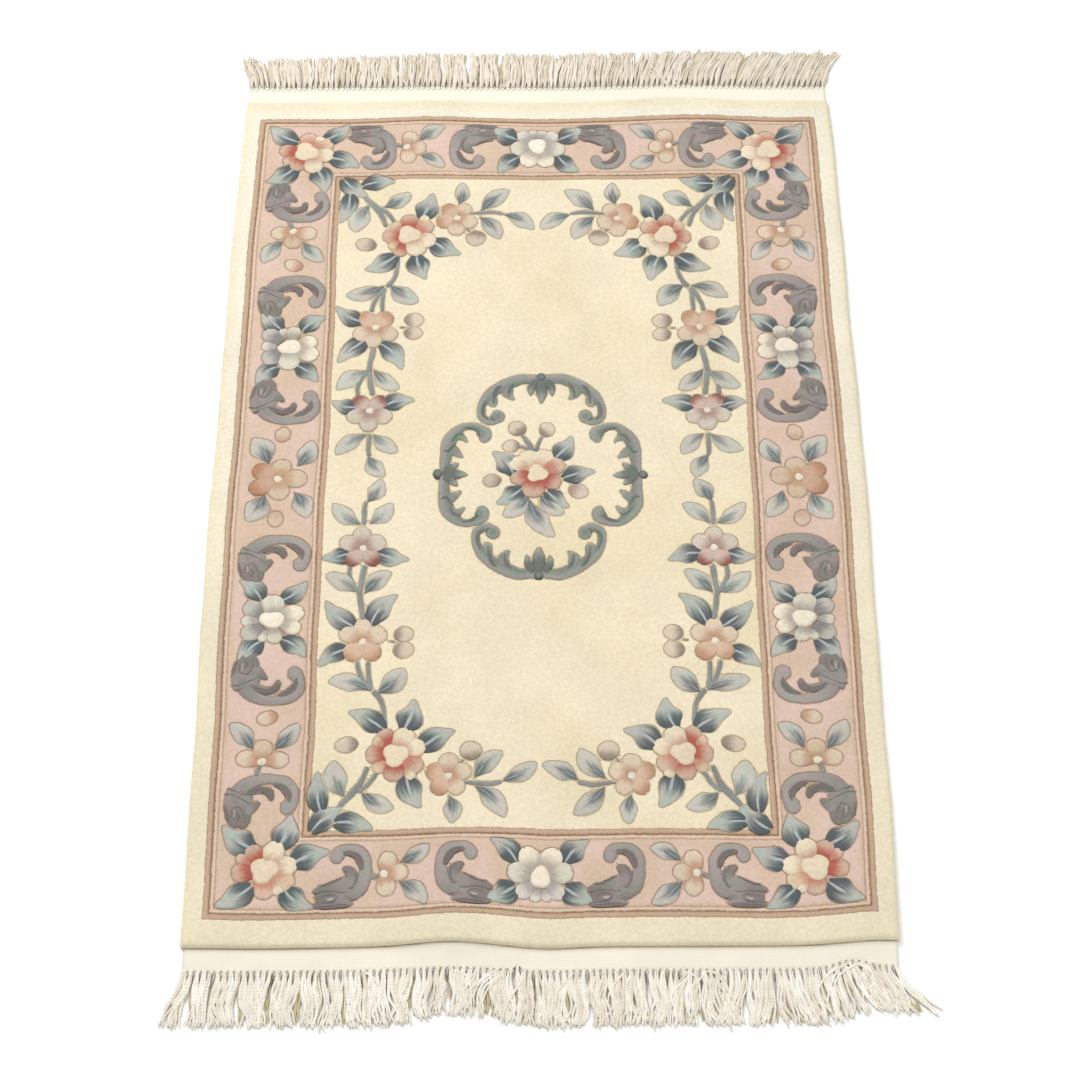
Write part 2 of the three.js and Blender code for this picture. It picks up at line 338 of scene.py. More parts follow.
# A soft-edged band or line of another dye, laid just over the shapes that it crosses.
def band(family, rows, dye):
    centre, half = brushLine(rows, 5)
    v = np.linspace(-1, 1, 7)[None, :]
    edge = (1 - np.abs(v)) * half[:, None]
    height = relief["bandOver"] - 0.5 * np.exp(-edge / 0.8)
    xy = widen(centre, half, v)[1]
    keepPatch(family, xy, height, np.clip(edge / 3.2, 0, 1), v, edge + 9, dye)


# Field garland of one quarter: base x, base y, tip x, tip y, width, dye.
garlandLeaves = [
    (320, 53, 290, 2, 32, "leafGrey"), (325, 99, 385, 56, 32, "leafPale"),
    (315, 99, 268, 56, 32, "leafPale"), (350, 160, 398, 170, 34, "leaf"),
    (296, 160, 237, 177, 38, "leaf"), (330, 243, 388, 202, 34, "leafPale"),
    (318, 246, 270, 197, 34, "leafGrey"), (334, 313, 390, 262, 42, "leaf"),
    (303, 303, 259, 245, 42, "leaf"), (346, 359, 397, 391, 38, "leaf"),
    (300, 443, 376, 417, 34, "leafGrey"), (290, 446, 238, 398, 40, "leafGrey"),
    (281, 514, 339, 480, 44, "leaf"), (239, 513, 221, 457, 46, "leaf"),
    (208, 550, 152, 516, 46, "leaf"), (233, 609, 209, 669, 46, "leaf"),
    (338, 644, 364, 577, 42, "leafPale"), (310, 636, 253, 670, 34, "leafGrey"),
    (377, 671, 389, 597, 38, "leaf"), (390, 706, 342, 661, 40, "leaf"),
    (351, 692, 286, 702, 40, "leaf"), (158, 642, 150, 698, 30, "leafGrey"),
    (114, 626, 58, 682, 36, "leafGrey"), (116, 614, 69, 559, 36, "leafGrey"),
    (68, 618, 4, 584, 33, "leafGrey"),
]
# Stems of one quarter: rows of x, y, width along each.
garlandStems = [
    [(320, 48, 8), (322, 70, 9), (321, 102, 9)],
    [(345, 184, 8), (345, 212, 9), (328, 244, 10)],
    [(318, 184, 10), (322, 212, 11), (326, 244, 11)],
    [(327, 236, 12), (323, 265, 10), (317, 300, 11)],
    [(326, 380, 8), (321, 404, 9), (302, 442, 10)],
    [(306, 380, 8), (305, 408, 9), (302, 442, 10)],
    [(298, 438, 12), (281, 464, 9), (273, 508, 9)],
    [(301, 586, 9), (309, 612, 10), (322, 634, 13), (339, 653, 11), (355, 672, 6), (366, 684, 5)],
    [(281, 594, 8), (298, 620, 9), (317, 637, 11)],
    [(134, 620, 5), (112, 622, 9), (90, 624, 10), (64, 619, 8)],
    [(258, 342, 5), (270, 343, 5)],
    [(133, 574, 5), (143, 585, 5)],
]
# Flowers: petal rows are x and y from the heart, width, dye. The last rows lie uppermost.
fieldRose = [
    (35, 2, 42, "deep"), (30, 28, 26, "blush"), (20, -34, 34, "deep"), (34, -22, 22, "blush"),
    (2, 38, 40, "deep"), (-32, 24, 38, "salmon"), (-30, 42, 22, "cream"),
    (-37, -10, 38, "cream"), (-14, -31, 42, "cream"),
]
cornerRose = [
    (42, 9, 36, "deep"), (39, -20, 24, "salmon"), (0, 38, 38, "salmon"), (-33, 24, 38, "blush"),
    (-23, 38, 22, "cream"), (20, -30, 36, "deep"), (-38, -4, 38, "cream"),
    (-13, -34, 40, "cream"),
]
bouquetRose = [
    (-14, 35, 46, "cream"), (16, 36, 42, "cream"), (-38, 22, 34, "cream"),
    (36, 20, 40, "salmon"), (-33, -8, 38, "deep"), (30, -16, 38, "deep"), (-6, -33, 44, "deep"),
]
sidePeony = [
    (43, 3, 24, "haze"), (37, -25, 36, "dusk"), (37, 31, 36, "dusk"), (15, 37, 20, "stone"),
    (-6, 37, 28, "stone"), (2, -34, 42, "stone"), (-35, 15, 32, "ivory"), (-35, -15, 38, "ivory"),
]
endPeony = [
    (9, 36, 20, "haze"), (-9, 36, 20, "haze"), (28, 29, 32, "haze"), (-28, 29, 32, "haze"),
    (38, -7, 40, "stone"), (-38, -7, 40, "stone"), (18, -36, 40, "ivory"), (-20, -36, 40, "ivory"),
]
dawnBlossom = [
    (20, 23, 34, "rosewood"), (-19, 22, 34, "rosewood"),
    (28, -11, 36, "mist"), (-26, -13, 36, "mist"), (1, -30, 35, "mist"),
]
amberBlossom = [
    (20, 22, 37, "clay"), (-19, 22, 37, "clay"),
    (28, -15, 36, "shell"), (-28, -16, 36, "shell"), (1, -31, 35, "shell"),
]
sprayBlossom = [
    (27, -9, 36, "clay"), (17, 22, 34, "clay"),
    (-14, 22, 33, "shell"), (-24, -9, 36, "shell"), (2, -28, 36, "shell"),
]
sideBlossom = [(29, -5, 33, "shell"), (-31, -5, 33, "shell"), (0, -27, 33, "beige")]
endBlossom = [(-5, -28, 33, "shell"), (-6, 27, 33, "shell"), (-27, -2, 32, "shell")]
midBlossom = [
    (-34, 2, 38, "beige"), (-4, -29, 36, "beige"), (-6, 28, 36, "beige"),
    (31, 17, 38, "brick"), (32, -19, 38, "brick"),
]
# Border leaves of one quarter.
borderLeaves = [
    (492, 738, 544, 700, 46, "leaf"), (448, 733, 426, 678, 46, "leaf"),
    (421, 764, 361, 743, 46, "leaf"), (492, 808, 547, 846, 44, "leaf"),
    (434, 812, 384, 850, 40, "leaf"), (500, 556, 538, 502, 34, "leafGrey"),
    (464, 554, 424, 503, 32, "leafGrey"), (499, 252, 536, 216, 38, "leaf"),
    (462, 256, 421, 219, 36, "leaf"), (497, 342, 534, 384, 40, "leaf"),
    (456, 338, 416, 371, 38, "leaf"), (240, 768, 188, 738, 30, "leafGrey"),
    (242, 802, 190, 844, 32, "leafGrey"),
]
midLeaves = [(502, 32, 530, 92, 42, "leafGrey"), (452, 28, 425, 84, 36, "leafGrey")]
endPeonyLeaves = [(42, 765, 81, 724, 40, "leaf"), (44, 813, 92, 840, 44, "leaf")]
bouquetLeaves = [
    (32, 45, 68, 92, 40, "leaf"), (48, 0, 105, 15, 38, "leaf"), (15, -32, 55, -66, 38, "leaf"),
    (-31, -24, -76, -60, 38, "leaf"), (-48, 12, -86, 58, 44, "leaf"),
    (0, -37, 42, -82, 34, "leafGrey"), (-15, -36, -64, -86, 36, "leafGrey"),
    (-15, -45, 22, -131, 37, "leafGrey"),
]
bouquetStems = [
    [(-8, 50, 10), (-14, 66, 11), (-26, 86, 8), (-33, 95, 5)],
    [(-6, 58, 8), (0, 76, 8), (8, 92, 5)],
    [(-12, 60, 8), (-24, 66, 8), (-38, 69, 5)],
]
# Buds: x, y, two half widths, turn, dye.
quarterBuds = [
    (243, 328, 19, 16, math.pi, "bud"), (243, 360, 20, 17, math.pi, "bud"),
    (340, 545, 22, 16, 0.1, "budMauve"), (122, 559, 20, 20, -1.5, "budMauve"),
    (478, 493, 19, 14, 0.3, "shell"),
]
sideBuds = [(481, 97, 18, 14, 1.6, "budFaint"), (482, -86, 18, 14, -1.6, "budFaint")]
bouquetBuds = [
    (-42, 109, 18, 17, 2.2, "bud"), (17, 105, 17, 16, 0.8, "bud"), (-53, 71, 17, 14, 3.1, "bud"),
    (-86, -8, 18, 15, 3.1, "budDark"), (72, -30, 20, 17, -0.5, "mist"),
]
# The scrolls are C-shaped. A stroke has rows of x, y, width along it. The foot comes first, then
# the tooth inside the arch, the arch with its hook, the dark bands, and the carved and the pale
# lines.
sideScroll = {
    "foot": [
        [(534, 626, 6), (530, 650, 24), (528, 670, 27), (524, 688, 22), (518, 702, 8)],
        [(512, 626, 30), (514, 650, 40), (513, 673, 38), (510, 692, 25), (511, 704, 9)],
        [(512, 676, 26), (496, 664, 20), (481, 652, 6)],
    ],
    "tooth": [(500, 636, 14), (484, 630, 16), (470, 632, 15), (464, 643, 12), (466, 651, 5)],
    "arch": [
        (446, 672, 18), (437, 665, 28), (428, 648, 20), (429, 630, 20), (443, 616, 21),
        (466, 610, 19), (490, 613, 22), (509, 624, 27), (521, 641, 24), (527, 660, 14),
    ],
    "bands": [
        [(433, 655, 4), (435, 639, 11), (447, 625, 11), (463, 619, 5)],
        [(509, 641, 4), (496, 632, 11), (481, 629, 11), (468, 636, 11), (464, 647, 5)],
    ],
    "lines": [
        [(543, 640, 2), (528, 640, 3.4), (512, 648, 3), (498, 656, 2)],
        [(506, 692, 2), (508, 675, 3.4), (516, 662, 3.2), (527, 668, 3.2), (530, 684, 2)],
        [(519, 690, 2), (516, 680, 4.5), (520, 671, 2)],
        [(540, 660, 2), (537, 674, 3.6), (534, 688, 2)],
        [(536, 628, 2), (522, 634, 3), (508, 640, 2)],
    ],
    "pale": [[(524, 684, 2), (523, 674, 4), (526, 664, 2)]],
}
endScroll = {
    "foot": [
        [(316, 842, 6), (332, 839, 16), (354, 839, 17), (381, 839, 13)],
        [(310, 826, 18), (334, 824, 30), (360, 827, 32), (382, 829, 24)],
        [(318, 800, 20), (336, 806, 26), (357, 813, 22), (374, 816, 16), (387, 818, 8)],
    ],
    "tooth": [(316, 814, 14), (318, 799, 19), (323, 785, 19), (331, 778, 13), (337, 777, 5)],
    "arch": [
        (344, 768, 14), (347, 757, 24), (341, 745, 21), (325, 741, 17), (309, 745, 19),
        (299, 760, 20), (297, 778, 20), (300, 797, 24), (307, 814, 25), (322, 827, 20),
        (342, 832, 10),
    ],
    "bands": [
        [(338, 748, 5), (326, 748, 10), (314, 754, 12), (307, 765, 12), (302, 779, 6)],
        [(321, 774, 2), (314, 785, 5), (313, 798, 6), (319, 813, 4)],
        [(384, 843, 3), (362, 844, 8), (338, 843, 8), (322, 842, 3)],
    ],
    "lines": [
        [(386, 821, 2), (370, 818, 3.4), (352, 818, 3.2), (338, 820, 3), (328, 819, 2)],
        [(372, 829, 2), (365, 825, 3.6), (350, 824, 3.4), (342, 828, 2)],
        [(384, 840, 2), (366, 839, 4), (352, 836, 4.5), (344, 829, 2)],
        [(376, 806, 2), (362, 805, 3.2), (348, 800, 3.2), (336, 792, 2)],
        [(310, 832, 2), (322, 831, 3), (330, 826, 2)],
    ],
    "pale": [[(362, 833, 3), (355, 832, 6), (348, 831, 3)]],
}
# Each scroll's places along its side: turned over or not, and how far along.
sideScrollPlaces = [(1, 0), (-1, 1069), (1, -480)]
endScrollPlaces = [(1, 0), (-1, 466)]


def drawFlower(family, x, y, petals):
    for order, row in enumerate(petals):
        petal(family, x, y, *row, 0.7 + 0.2 * order)


def drawRose(x, y, petals, heart, heartTurn):
    drawFlower("rosePetals", x, y, petals)
    dx, dy, rx, ry = heart
    hx = x + dx + nudge()
    disc("hearts", hx, y + dy, rx, ry, "heart", heartTurn, 3, 0.26, level=2.5, dome=1.6)


def drawPeony(x, y, petals, rx, ry, turn):
    drawFlower("peonyPetals", x, y, petals)
    disc("hearts", x + nudge(), y, rx, ry, "heartPale", turn, 3, 0.16, level=2.5, dome=1.6)


def drawBlossom(x, y, petals, stem=None):
    drawFlower("blossomPetals", x, y, petals)
    disc("hearts", x, y, 9.2, 8.6, "dot", rng.uniform(0, 6), 3, 0.08, level=1.9, dome=0.7)
    if stem:
        stroke("stems", stem, "stem", level=0.5)


def drawBuds(buds):
    for x, y, rx, ry, turn, dye in buds:
        hx, hy = x + nudge(), y + nudge()
        disc("buds", hx, hy, rx, ry, dye, turn, 2, 0.07, level=0.7, radial=False)


def drawScroll(design, place):
    def moved(rows):
        return [(*place(x, y), w) for x, y, w in rows]

    for order, rows in enumerate(design["foot"]):
        stroke("scrollwork", moved(rows), "scrollFoot", 0.6 + 0.12 * order)
    stroke("scrollwork", moved(design["tooth"]), "scrollFoot", 0.95, 0.7)
    stroke("scrollwork", moved(design["arch"]), "scroll", 1.05)
    for part, dye in (("bands", "scrollBand"), ("lines", "scrollLine"), ("pale", "scrollLight")):
        for rows in design[part]:
            band("scrollwork", moved(rows), dye)


def drawQuarter():
    for row in garlandLeaves + borderLeaves:
        leaf(*row)
    for rows in garlandStems:
        stroke("stems", rows, "stem", level=0.4, dome=0.5)
    drawRose(253, 562, fieldRose, (0, 4, 28, 26), rng.uniform(0.3, 0.9))
    drawRose(467, 775, cornerRose, (1, 3, 29, 27), rng.uniform(0.3, 0.9))
    drawPeony(476, 297, sidePeony, 25, 20, math.pi)
    drawBlossom(322, 150, dawnBlossom)
    drawBlossom(317, 343, amberBlossom)
    drawBlossom(159, 607, sprayBlossom)
    drawBlossom(483, 577, sideBlossom, [(484, 583, 9), (489, 592, 8), (491, 604, 9)])
    drawBlossom(266, 788, endBlossom, [(274, 789, 8), (282, 793, 8), (292, 794, 9)])
    drawBuds(quarterBuds)
    for flip, shift in sideScrollPlaces:
        drawScroll(sideScroll, lambda x, y: (x, y * flip + shift))
    for flip, shift in endScrollPlaces:
        drawScroll(endScroll, lambda x, y: (x * flip + shift, y))


# Each leaf and its mirror image, flipX and flipY being 1 or -1.
def leafPairs(rows, flipX, flipY):
    for baseX, baseY, tipX, tipY, width, dye in rows:
        leaf(baseX, baseY, tipX, tipY, width, dye)
        leaf(flipX * baseX, flipY * baseY, flipX * tipX, flipY * tipY, width, dye)


def drawSide():
    leafPairs(midLeaves, 1, -1)
    drawBlossom(482, 0, midBlossom)
    drawBuds(sideBuds)


def drawEnd():
    leafPairs(endPeonyLeaves, -1, 1)
    drawPeony(0, 793, endPeony, 20, 24, 0)


# Draws one part of the pattern, then turns it over and moves it to its place.
def mirrored(draw, signX, signY, shiftX=0.0, shiftY=0.0):
    first = len(patches)
    draw()
    for made in patches[first:]:
        made["xy"] = made["xy"] * np.array([signX, signY]) + np.array([shiftX, shiftY])


print("drawing the border and the garland")
for signX in (1, -1):
    for signY in (1, -1):
        mirrored(drawQuarter, signX, signY)
    mirrored(drawSide, signX, 1)
mirrored(drawEnd, 1, 1)
mirrored(drawEnd, 1, -1)

# The medallion: half of an end arc and half of a side arc about their middles, each drawn twice,
# with blunt teeth on the inner side. Bands are of darker dye.
medallion = {
    "endArc": [
        (-4, 222, 18), (20, 222, 21), (40, 221, 24), (62, 212, 26), (84, 199, 24), (102, 181, 23),
        (113, 163, 17), (115, 148, 16), (113, 134, 16), (103, 126, 17), (92, 127, 20),
        (85, 133, 20),
    ],
    "endCurl": (84, 136, 13.5, 14.5),
    "endTeeth": [
        [(68, 212, 28), (66, 197, 26), (64, 187, 20), (58, 179, 11), (52, 174, 4)],
        [(98, 190, 26), (95, 178, 21), (94, 167, 19), (94, 157, 16)],
    ],
    "endBands": [
        [(52, 212, 3), (59, 201, 6), (63, 190, 5), (63, 180, 2)],
        [(77, 207, 3), (85, 199, 8), (91, 184, 6), (93, 164, 3)],
        [(108, 172, 4), (113, 155, 5), (112, 140, 5), (102, 130, 3)],
        [(96, 136, 3), (94, 130, 5), (88, 127, 2)],
    ],
    "sideArc": [
        (184, -2, 18), (183, 20, 19), (181, 44, 24), (178, 68, 27), (167, 88, 25), (152, 103, 17),
        (136, 106, 15), (121, 103, 17), (110, 94, 23), (113, 82, 31), (121, 79, 28),
    ],
    "sideTeeth": [
        [(182, 54, 28), (169, 50, 23), (158, 42, 13), (149, 35, 4)],
        [(173, 88, 28), (158, 83, 20), (149, 77, 10), (142, 69, 4)],
    ],
    "sideBands": [
        [(187, 52, 3), (178, 50, 6), (170, 60, 5), (166, 66, 2)],
        [(172, 70, 3), (166, 82, 5), (156, 88, 4), (150, 88, 2)],
        [(148, 103, 3), (134, 101, 5), (124, 95, 5), (122, 84, 2)],
    ],
    "endCrown": [
        [(-10, 222, 16), (-17, 207, 17), (-20, 196, 14), (-21, 183, 3)],
        [(10, 222, 16), (17, 207, 17), (20, 196, 14), (21, 183, 3)],
        [(0, 222, 15), (0, 206, 22), (0, 190, 23), (0, 178, 15), (0, 165, 3)],
    ],
    "endKnob": (0, 225, 11, 10),
    "sideCrown": [
        [(188, 6, 14), (171, 13, 18), (157, 25, 4)],
        [(188, -6, 14), (171, -13, 18), (157, -25, 4)],
        [(192, 0, 14), (168, 0, 24), (138, -3, 4)],
    ],
    "sideKnob": (195, 0, 9, 10),
}


def drawArc(part, flipX, flipY, outward):
    def move(rows):
        return [(x * flipX, y * flipY, w) for x, y, w in rows]

    out = outward * flipX * flipY
    stroke("medallionRing", move(medallion[part + "Arc"]), "ring", 0.8, 0.5, out)
    for rows in medallion[part + "Teeth"]:
        stroke("medallionRing", move(rows), "ringTooth", 0.75, 0.45)
    for rows in medallion[part + "Bands"]:
        band("medallionRing", move(rows), "ringBand")


def drawCrown(part):
    for rows in medallion[part + "Crown"]:
        stroke("medallionRing", rows, "ringCrown", level=1.6, dome=0.9)
    disc("medallionRing", *medallion[part + "Knob"], "ringKnob", level=2.1)


def drawMedallionEnd():
    x, y, rx, ry = medallion["endCurl"]
    for side in (1, -1):
        drawArc("end", side, 1, 1)
        disc("medallionRing", side * x, y, rx, ry, "ring", level=1.1, dome=0.8)
    drawCrown("end")


def drawMedallionSide():
    drawArc("side", 1, 1, -1)
    drawArc("side", 1, -1, -1)
    drawCrown("side")


def drawBouquet():
    for row in bouquetLeaves:
        leaf(*row)
    for rows in bouquetStems:
        stroke("stems", rows, "stem")
    drawBuds(bouquetBuds)
    drawRose(-4, 8, bouquetRose, (1, -1, 25, 23), 1.2)


print("drawing the medallion")
mirrored(drawMedallionEnd, 1, 1, 5.5, 0)
mirrored(drawMedallionEnd, 1, -1.03, 0.5, 21.6)
mirrored(drawMedallionSide, 1, 1, 0, 8)
mirrored(drawMedallionSide, -1, 1, 7, 8)
drawBouquet()


# Hand-cut outlines are not quite smooth.
def frayed(xy):
    moved = []
    for x, y in xy.reshape(-1, 2):
        fine = noise.noise_vector((x / 5, y / 5, 0.0))
        wide = noise.noise_vector((x / 26, y / 26, 7.0))
        off = relief["fray"] * fine + relief["frayWide"] * wide
        moved.append([x + off.x, y + off.y])
    return np.array(moved).reshape(xy.shape)


for made in patches:
    made["xy"] = frayed(made["xy"])


# What each kind of attribute calls its values.
attributeKeys = {"FLOAT_COLOR": "color", "FLOAT_VECTOR": "vector", "FLOAT": "value"}


def makeMesh(name, points, faces):
    mesh = bpy.data.meshes.new(name)
    mesh.from_pydata((np.asarray(points) * mm).tolist(), [], faces)
    mesh.update()
    obj = bpy.data.objects.new(name, mesh)
    bpy.context.scene.collection.objects.link(obj)
    mesh.shade_smooth()
    return obj


def addAttribute(obj, name, kind, values):
    layer = obj.data.attributes.new(name, kind, "POINT")
    layer.data.foreach_set(attributeKeys[kind], np.asarray(values, dtype=np.float32).ravel())


def gridFaces(rows, columns, first=0, wrap=False):
    i = np.arange(rows - 1)[:, None]
    j = np.arange(columns if wrap else columns - 1)[None, :]
    k = (j + 1) % columns
    corners = [i * columns + j, (i + 1) * columns + j, (i + 1) * columns + k, i * columns + k]
    return (np.stack(corners, axis=-1).reshape(-1, 4) + first).tolist()


# A closed tube of rings, with its two end caps.
def tubeFaces(rings, sides, first):
    last = first + rings * sides - 1
    caps = [[first + j for j in range(sides)], [last - j for j in range(sides)]]
    return gridFaces(rings, sides, first, True) + caps


def rimLoop(rows, columns, first=0, wrap=False):
    lastRow = (rows - 1) * columns
    if wrap:
        return [first + lastRow + j for j in range(columns)]
    loop = list(range(columns))
    loop += [i * columns + columns - 1 for i in range(1, rows)]
    loop += [lastRow + j for j in range(columns - 2, -1, -1)]
    loop += [i * columns for i in range(rows - 2, 0, -1)]
    return [first + k for k in loop]


def signedArea(points):
    x, y = points[:, 0], points[:, 1]
    return 0.5 * np.sum(x * np.roll(y, -1) - y * np.roll(x, -1))


def noiseOver(x, y, z):
    return np.array([noise.noise((px, py, z)) for px, py in zip(x, y)])


def buildFamily(family):
    points, faces, shapes, bases, tips = [], [], [], [], []
    first = 0
    for made in patches:
        if made["family"] != family:
            continue
        rows, columns = made["height"].shape
        xy = made["xy"].reshape(-1, 2)
        x, y = xy[:, 0], xy[:, 1]
        laid = layDown(x, y, pileTop(x, y) + made["height"].ravel())
        points.append(laid)
        own = gridFaces(rows, columns, first, made["wrap"])
        loop = rimLoop(rows, columns, first, made["wrap"])
        if signedArea(laid[np.array(own[len(own) // 2]) - first]) < 0:
            own = [face[::-1] for face in own]
        if signedArea(laid[np.array(loop) - first]) > 0:
            loop = loop[::-1]
        faces += own + [loop]
        if made["wrap"]:
            cap = [first + j for j in range(columns)]
            faces.append(cap if signedArea(laid[:columns]) > 0 else cap[::-1])
        shapes.append(made["shape"].reshape(-1, 3))
        bases.append(np.tile(made["base"], (len(xy), 1)))
        tips.append(np.tile(made["tip"], (len(xy), 1)))
        first += len(xy)
    obj = makeMesh(family, np.concatenate(points), faces)
    addAttribute(obj, "shape", "FLOAT_VECTOR", np.concatenate(shapes))
    addAttribute(obj, "dyeBase", "FLOAT_COLOR", np.concatenate(bases))
    addAttribute(obj, "dyeTip", "FLOAT_COLOR", np.concatenate(tips))
    return obj


print("building the carved shapes")
families = ["leaves", "stems", "rosePetals", "peonyPetals", "blossomPetals", "hearts", "buds"]
families += ["scrollwork", "medallionRing"]
carved = {family: buildFamily(family) for family in families}


# The ground of the pile: a closed slab whose grid lines crowd at the stripes and the rolled edge.
def groundLines(half, outer, inner):
    lines = [half, half - 0.5, half - 1.6, half - 3.2, half - 5.2, half - rug["edgeRound"]]
    marks = [-5, -3, -1.5, 0, 1.5, 4, 6.8, 8.8, 10.3, 11.8, 14, 16.4, 18.1, 19.8, 22, 24.5]
    lines = sorted(lines + [outer - mark for mark in marks] + [inner + mark for mark in marks])
    full = [lines[0]]
    for line in lines[1:]:
        start = full[-1]
        gaps = max(1, round((line - start) / rug["step"]))
        full += [start + (line - start) * k / gaps for k in range(1, gaps + 1)]
    fieldGaps = round(2 * full[0] / rug["step"])
    field = [full[0] * (2 * k / fieldGaps - 1) for k in range(1, fieldGaps)]
    return np.array([-line for line in reversed(full)] + field + full)


def withinRing(x, y, ring):
    crossings = np.zeros(len(x), dtype=int)
    for (x0, y0), (x1, y1) in zip(ring, np.roll(ring, -1, axis=0)):
        if y0 != y1:
            spans = (y0 > y) != (y1 > y)
            crossings += spans & (x < x0 + (y - y0) * (x1 - x0) / (y1 - y0))
    return crossings % 2 == 1


# Distance from the nearest shape's rim, less than nothing under a shape.
def carvedDistance(x, y):
    under = np.zeros(len(x), dtype=bool)
    outline = []
    for made in patches:
        loop = rimLoop(*made["height"].shape, wrap=made["wrap"])
        ring = made["xy"].reshape(-1, 2)[loop]
        after = np.roll(ring, -1, axis=0)
        outline += [ring, (2 * ring + after) / 3, (ring + 2 * after) / 3]
        low, high = ring.min(axis=0), ring.max(axis=0)
        near = np.nonzero((x > low[0]) & (x < high[0]) & (y > low[1]) & (y < high[1]))[0]
        if len(near):
            under[near] |= withinRing(x[near], y[near], ring)
    outline = np.concatenate(outline)
    tree = kdtree.KDTree(len(outline))
    for i, (px, py) in enumerate(outline):
        tree.insert((px, py, 0), i)
    tree.balance()
    farOff = relief["farOff"]
    away = np.array([min(tree.find((px, py, 0))[2], farOff) for px, py in zip(x, y)])
    return np.where(under, -away, away)


ground = {"tufts": 0.3, "rimTufts": 1.1, "rimWidth": 4, "sunk": 1.0, "sunkWithin": 4.5}


def makeGround():
    xs = groundLines(rug["halfWidth"], stripes["outerX"], stripes["innerX"])
    ys = groundLines(rug["halfLength"], stripes["outerY"], stripes["innerY"])
    x, y = [grid.ravel() for grid in np.meshgrid(xs, ys)]
    carve = carvedDistance(x, y)
    tufts = noiseOver(x / 4.1, y / 4.3, 0.5)
    sunk = ground["sunk"] * (1 - smoothStep(carve, 0.0, ground["sunkWithin"]))
    top = pileTop(x, y) + ground["tufts"] * tufts - sunk
    atRim = np.abs(x) > rug["halfWidth"] - ground["rimWidth"]
    laid = layDown(x + np.where(atRim, ground["rimTufts"] * tufts * np.sign(x), 0), y, top)
    rows, columns = len(ys), len(xs)
    faces = [face[::-1] for face in gridFaces(rows, columns)]
    loop = rimLoop(rows, columns)
    after = loop[1:] + loop[:1]
    under = layDown(x[loop], y[loop], np.zeros(len(loop)))
    below = {corner: len(x) + k for k, corner in enumerate(loop)}
    walls = [[a, below[a], below[b], b] for a, b in zip(loop, after)]
    left = [below[i * columns] for i in range(rows)]
    right = [below[i * columns + columns - 1] for i in range(rows)]
    nearEdge = [below[j] for j in range(columns)]
    farEdge = [below[(rows - 1) * columns + j] for j in range(columns)]
    bottom = [[left[i], left[i + 1], right[i + 1], right[i]] for i in range(1, rows - 2)]
    bottom.append([left[1], right[1]] + nearEdge[::-1])
    bottom.append([right[-2], left[-2]] + farEdge)
    obj = makeMesh("pileGround", np.concatenate([laid, under]), faces + walls + bottom)
    # The plan's third number is 0 on the face and 1 at the foot of the edge.
    face = np.stack([x, y, np.zeros(len(x))], axis=-1)
    foot = np.stack([x[loop], y[loop], np.ones(len(loop))], axis=-1)
    addAttribute(obj, "plan", "FLOAT_VECTOR", np.concatenate([face, foot]))
    carve = np.concatenate([carve, np.full(len(loop), relief["farOff"])])
    addAttribute(obj, "carve", "FLOAT", carve)
    print("ground grid", columns, rows)
    return obj


print("building the ground")
pileGround = makeGround()

# The end strips and the fringe.
strip = {
    "halfWidth": 599,
    "depth": 38,
    "thickness": 2.6,
    "gap": 0.3,
    "straighten": 0.35,
    "columns": 260,
    "rows": 12,
    "over": 1.04,  # it runs this far under the knots
    "ripple": 1.3,
    "thread": 0.2,
    "thinnest": 1.2,
    "clearance": 0.05,
}
foldLine = {"x": -52, "slope": 0.35, "width": 5, "height": 2.6, "notch": 9}
drawnIn = {"x": 520, "reach": 34, "by": 11}
# Rows of x, reach and how far: the yarns lean sideways, part to show the lower ones, or are cut
# short.
ends = {
    "near": {
        "sign": -1,
        "length": 100,
        "thickness": 1.0,
        "drift": 6,
        "waviness": 1.0,
        "tangle": 34,
        "leans": [(-610, 60, -22), (460, 60, 8), (610, 110, 46)],
        "partings": [(-97, 15, 42), (-160, 12, 18), (268, 12, 24), (506, 14, 32)],
        "cuts": [(-138, 78, 17), (560, 60, 14)],
        "dyes": ["#F4EFE4", "#EEE7D9", "#F8F4EB", "#E7DECD", "#F1EBDE"],
    },
    "far": {
        "sign": 1,
        "length": 100,
        "thickness": 0.86,
        "drift": 2,
        "waviness": 0.55,
        "tangle": 8,
        "leans": [(-600, 80, -20), (480, 330, 40)],
        "partings": [(-490, 10, 12), (40, 10, 14)],
        "cuts": [(-590, 260, 12)],
        "dyes": ["#E2D9C8", "#D9CEBC", "#E9E1D4", "#D2C6B2", "#E4DBCC"],
    },
}


def stripPoint(end, x, across, z):
    sign = end["sign"]
    line = sign * rug["halfLength"]
    edge = layDown(x, line + 0 * x, 0 * x)
    shift, lift = edge[..., 1] - line, edge[..., 2]
    flat = rug["halfLength"] + strip["gap"] + across * strip["depth"]
    height = z + lift * (1 - across) ** 2
    laidY = sign * flat + shift * (1 - strip["straighten"] * across)
    if sign < 0:
        off = x - foldLine["x"] - foldLine["slope"] * across * strip["depth"]
        fold = bell(off, foldLine["width"])
        height = height + foldLine["height"] * fold * across
        laidY = laidY + foldLine["notch"] * fold * across**3
        laidY = laidY + drawnIn["by"] * bell(x - drawnIn["x"], drawnIn["reach"]) * across**2
    return np.stack([x + 0 * across, laidY, height], axis=-1)


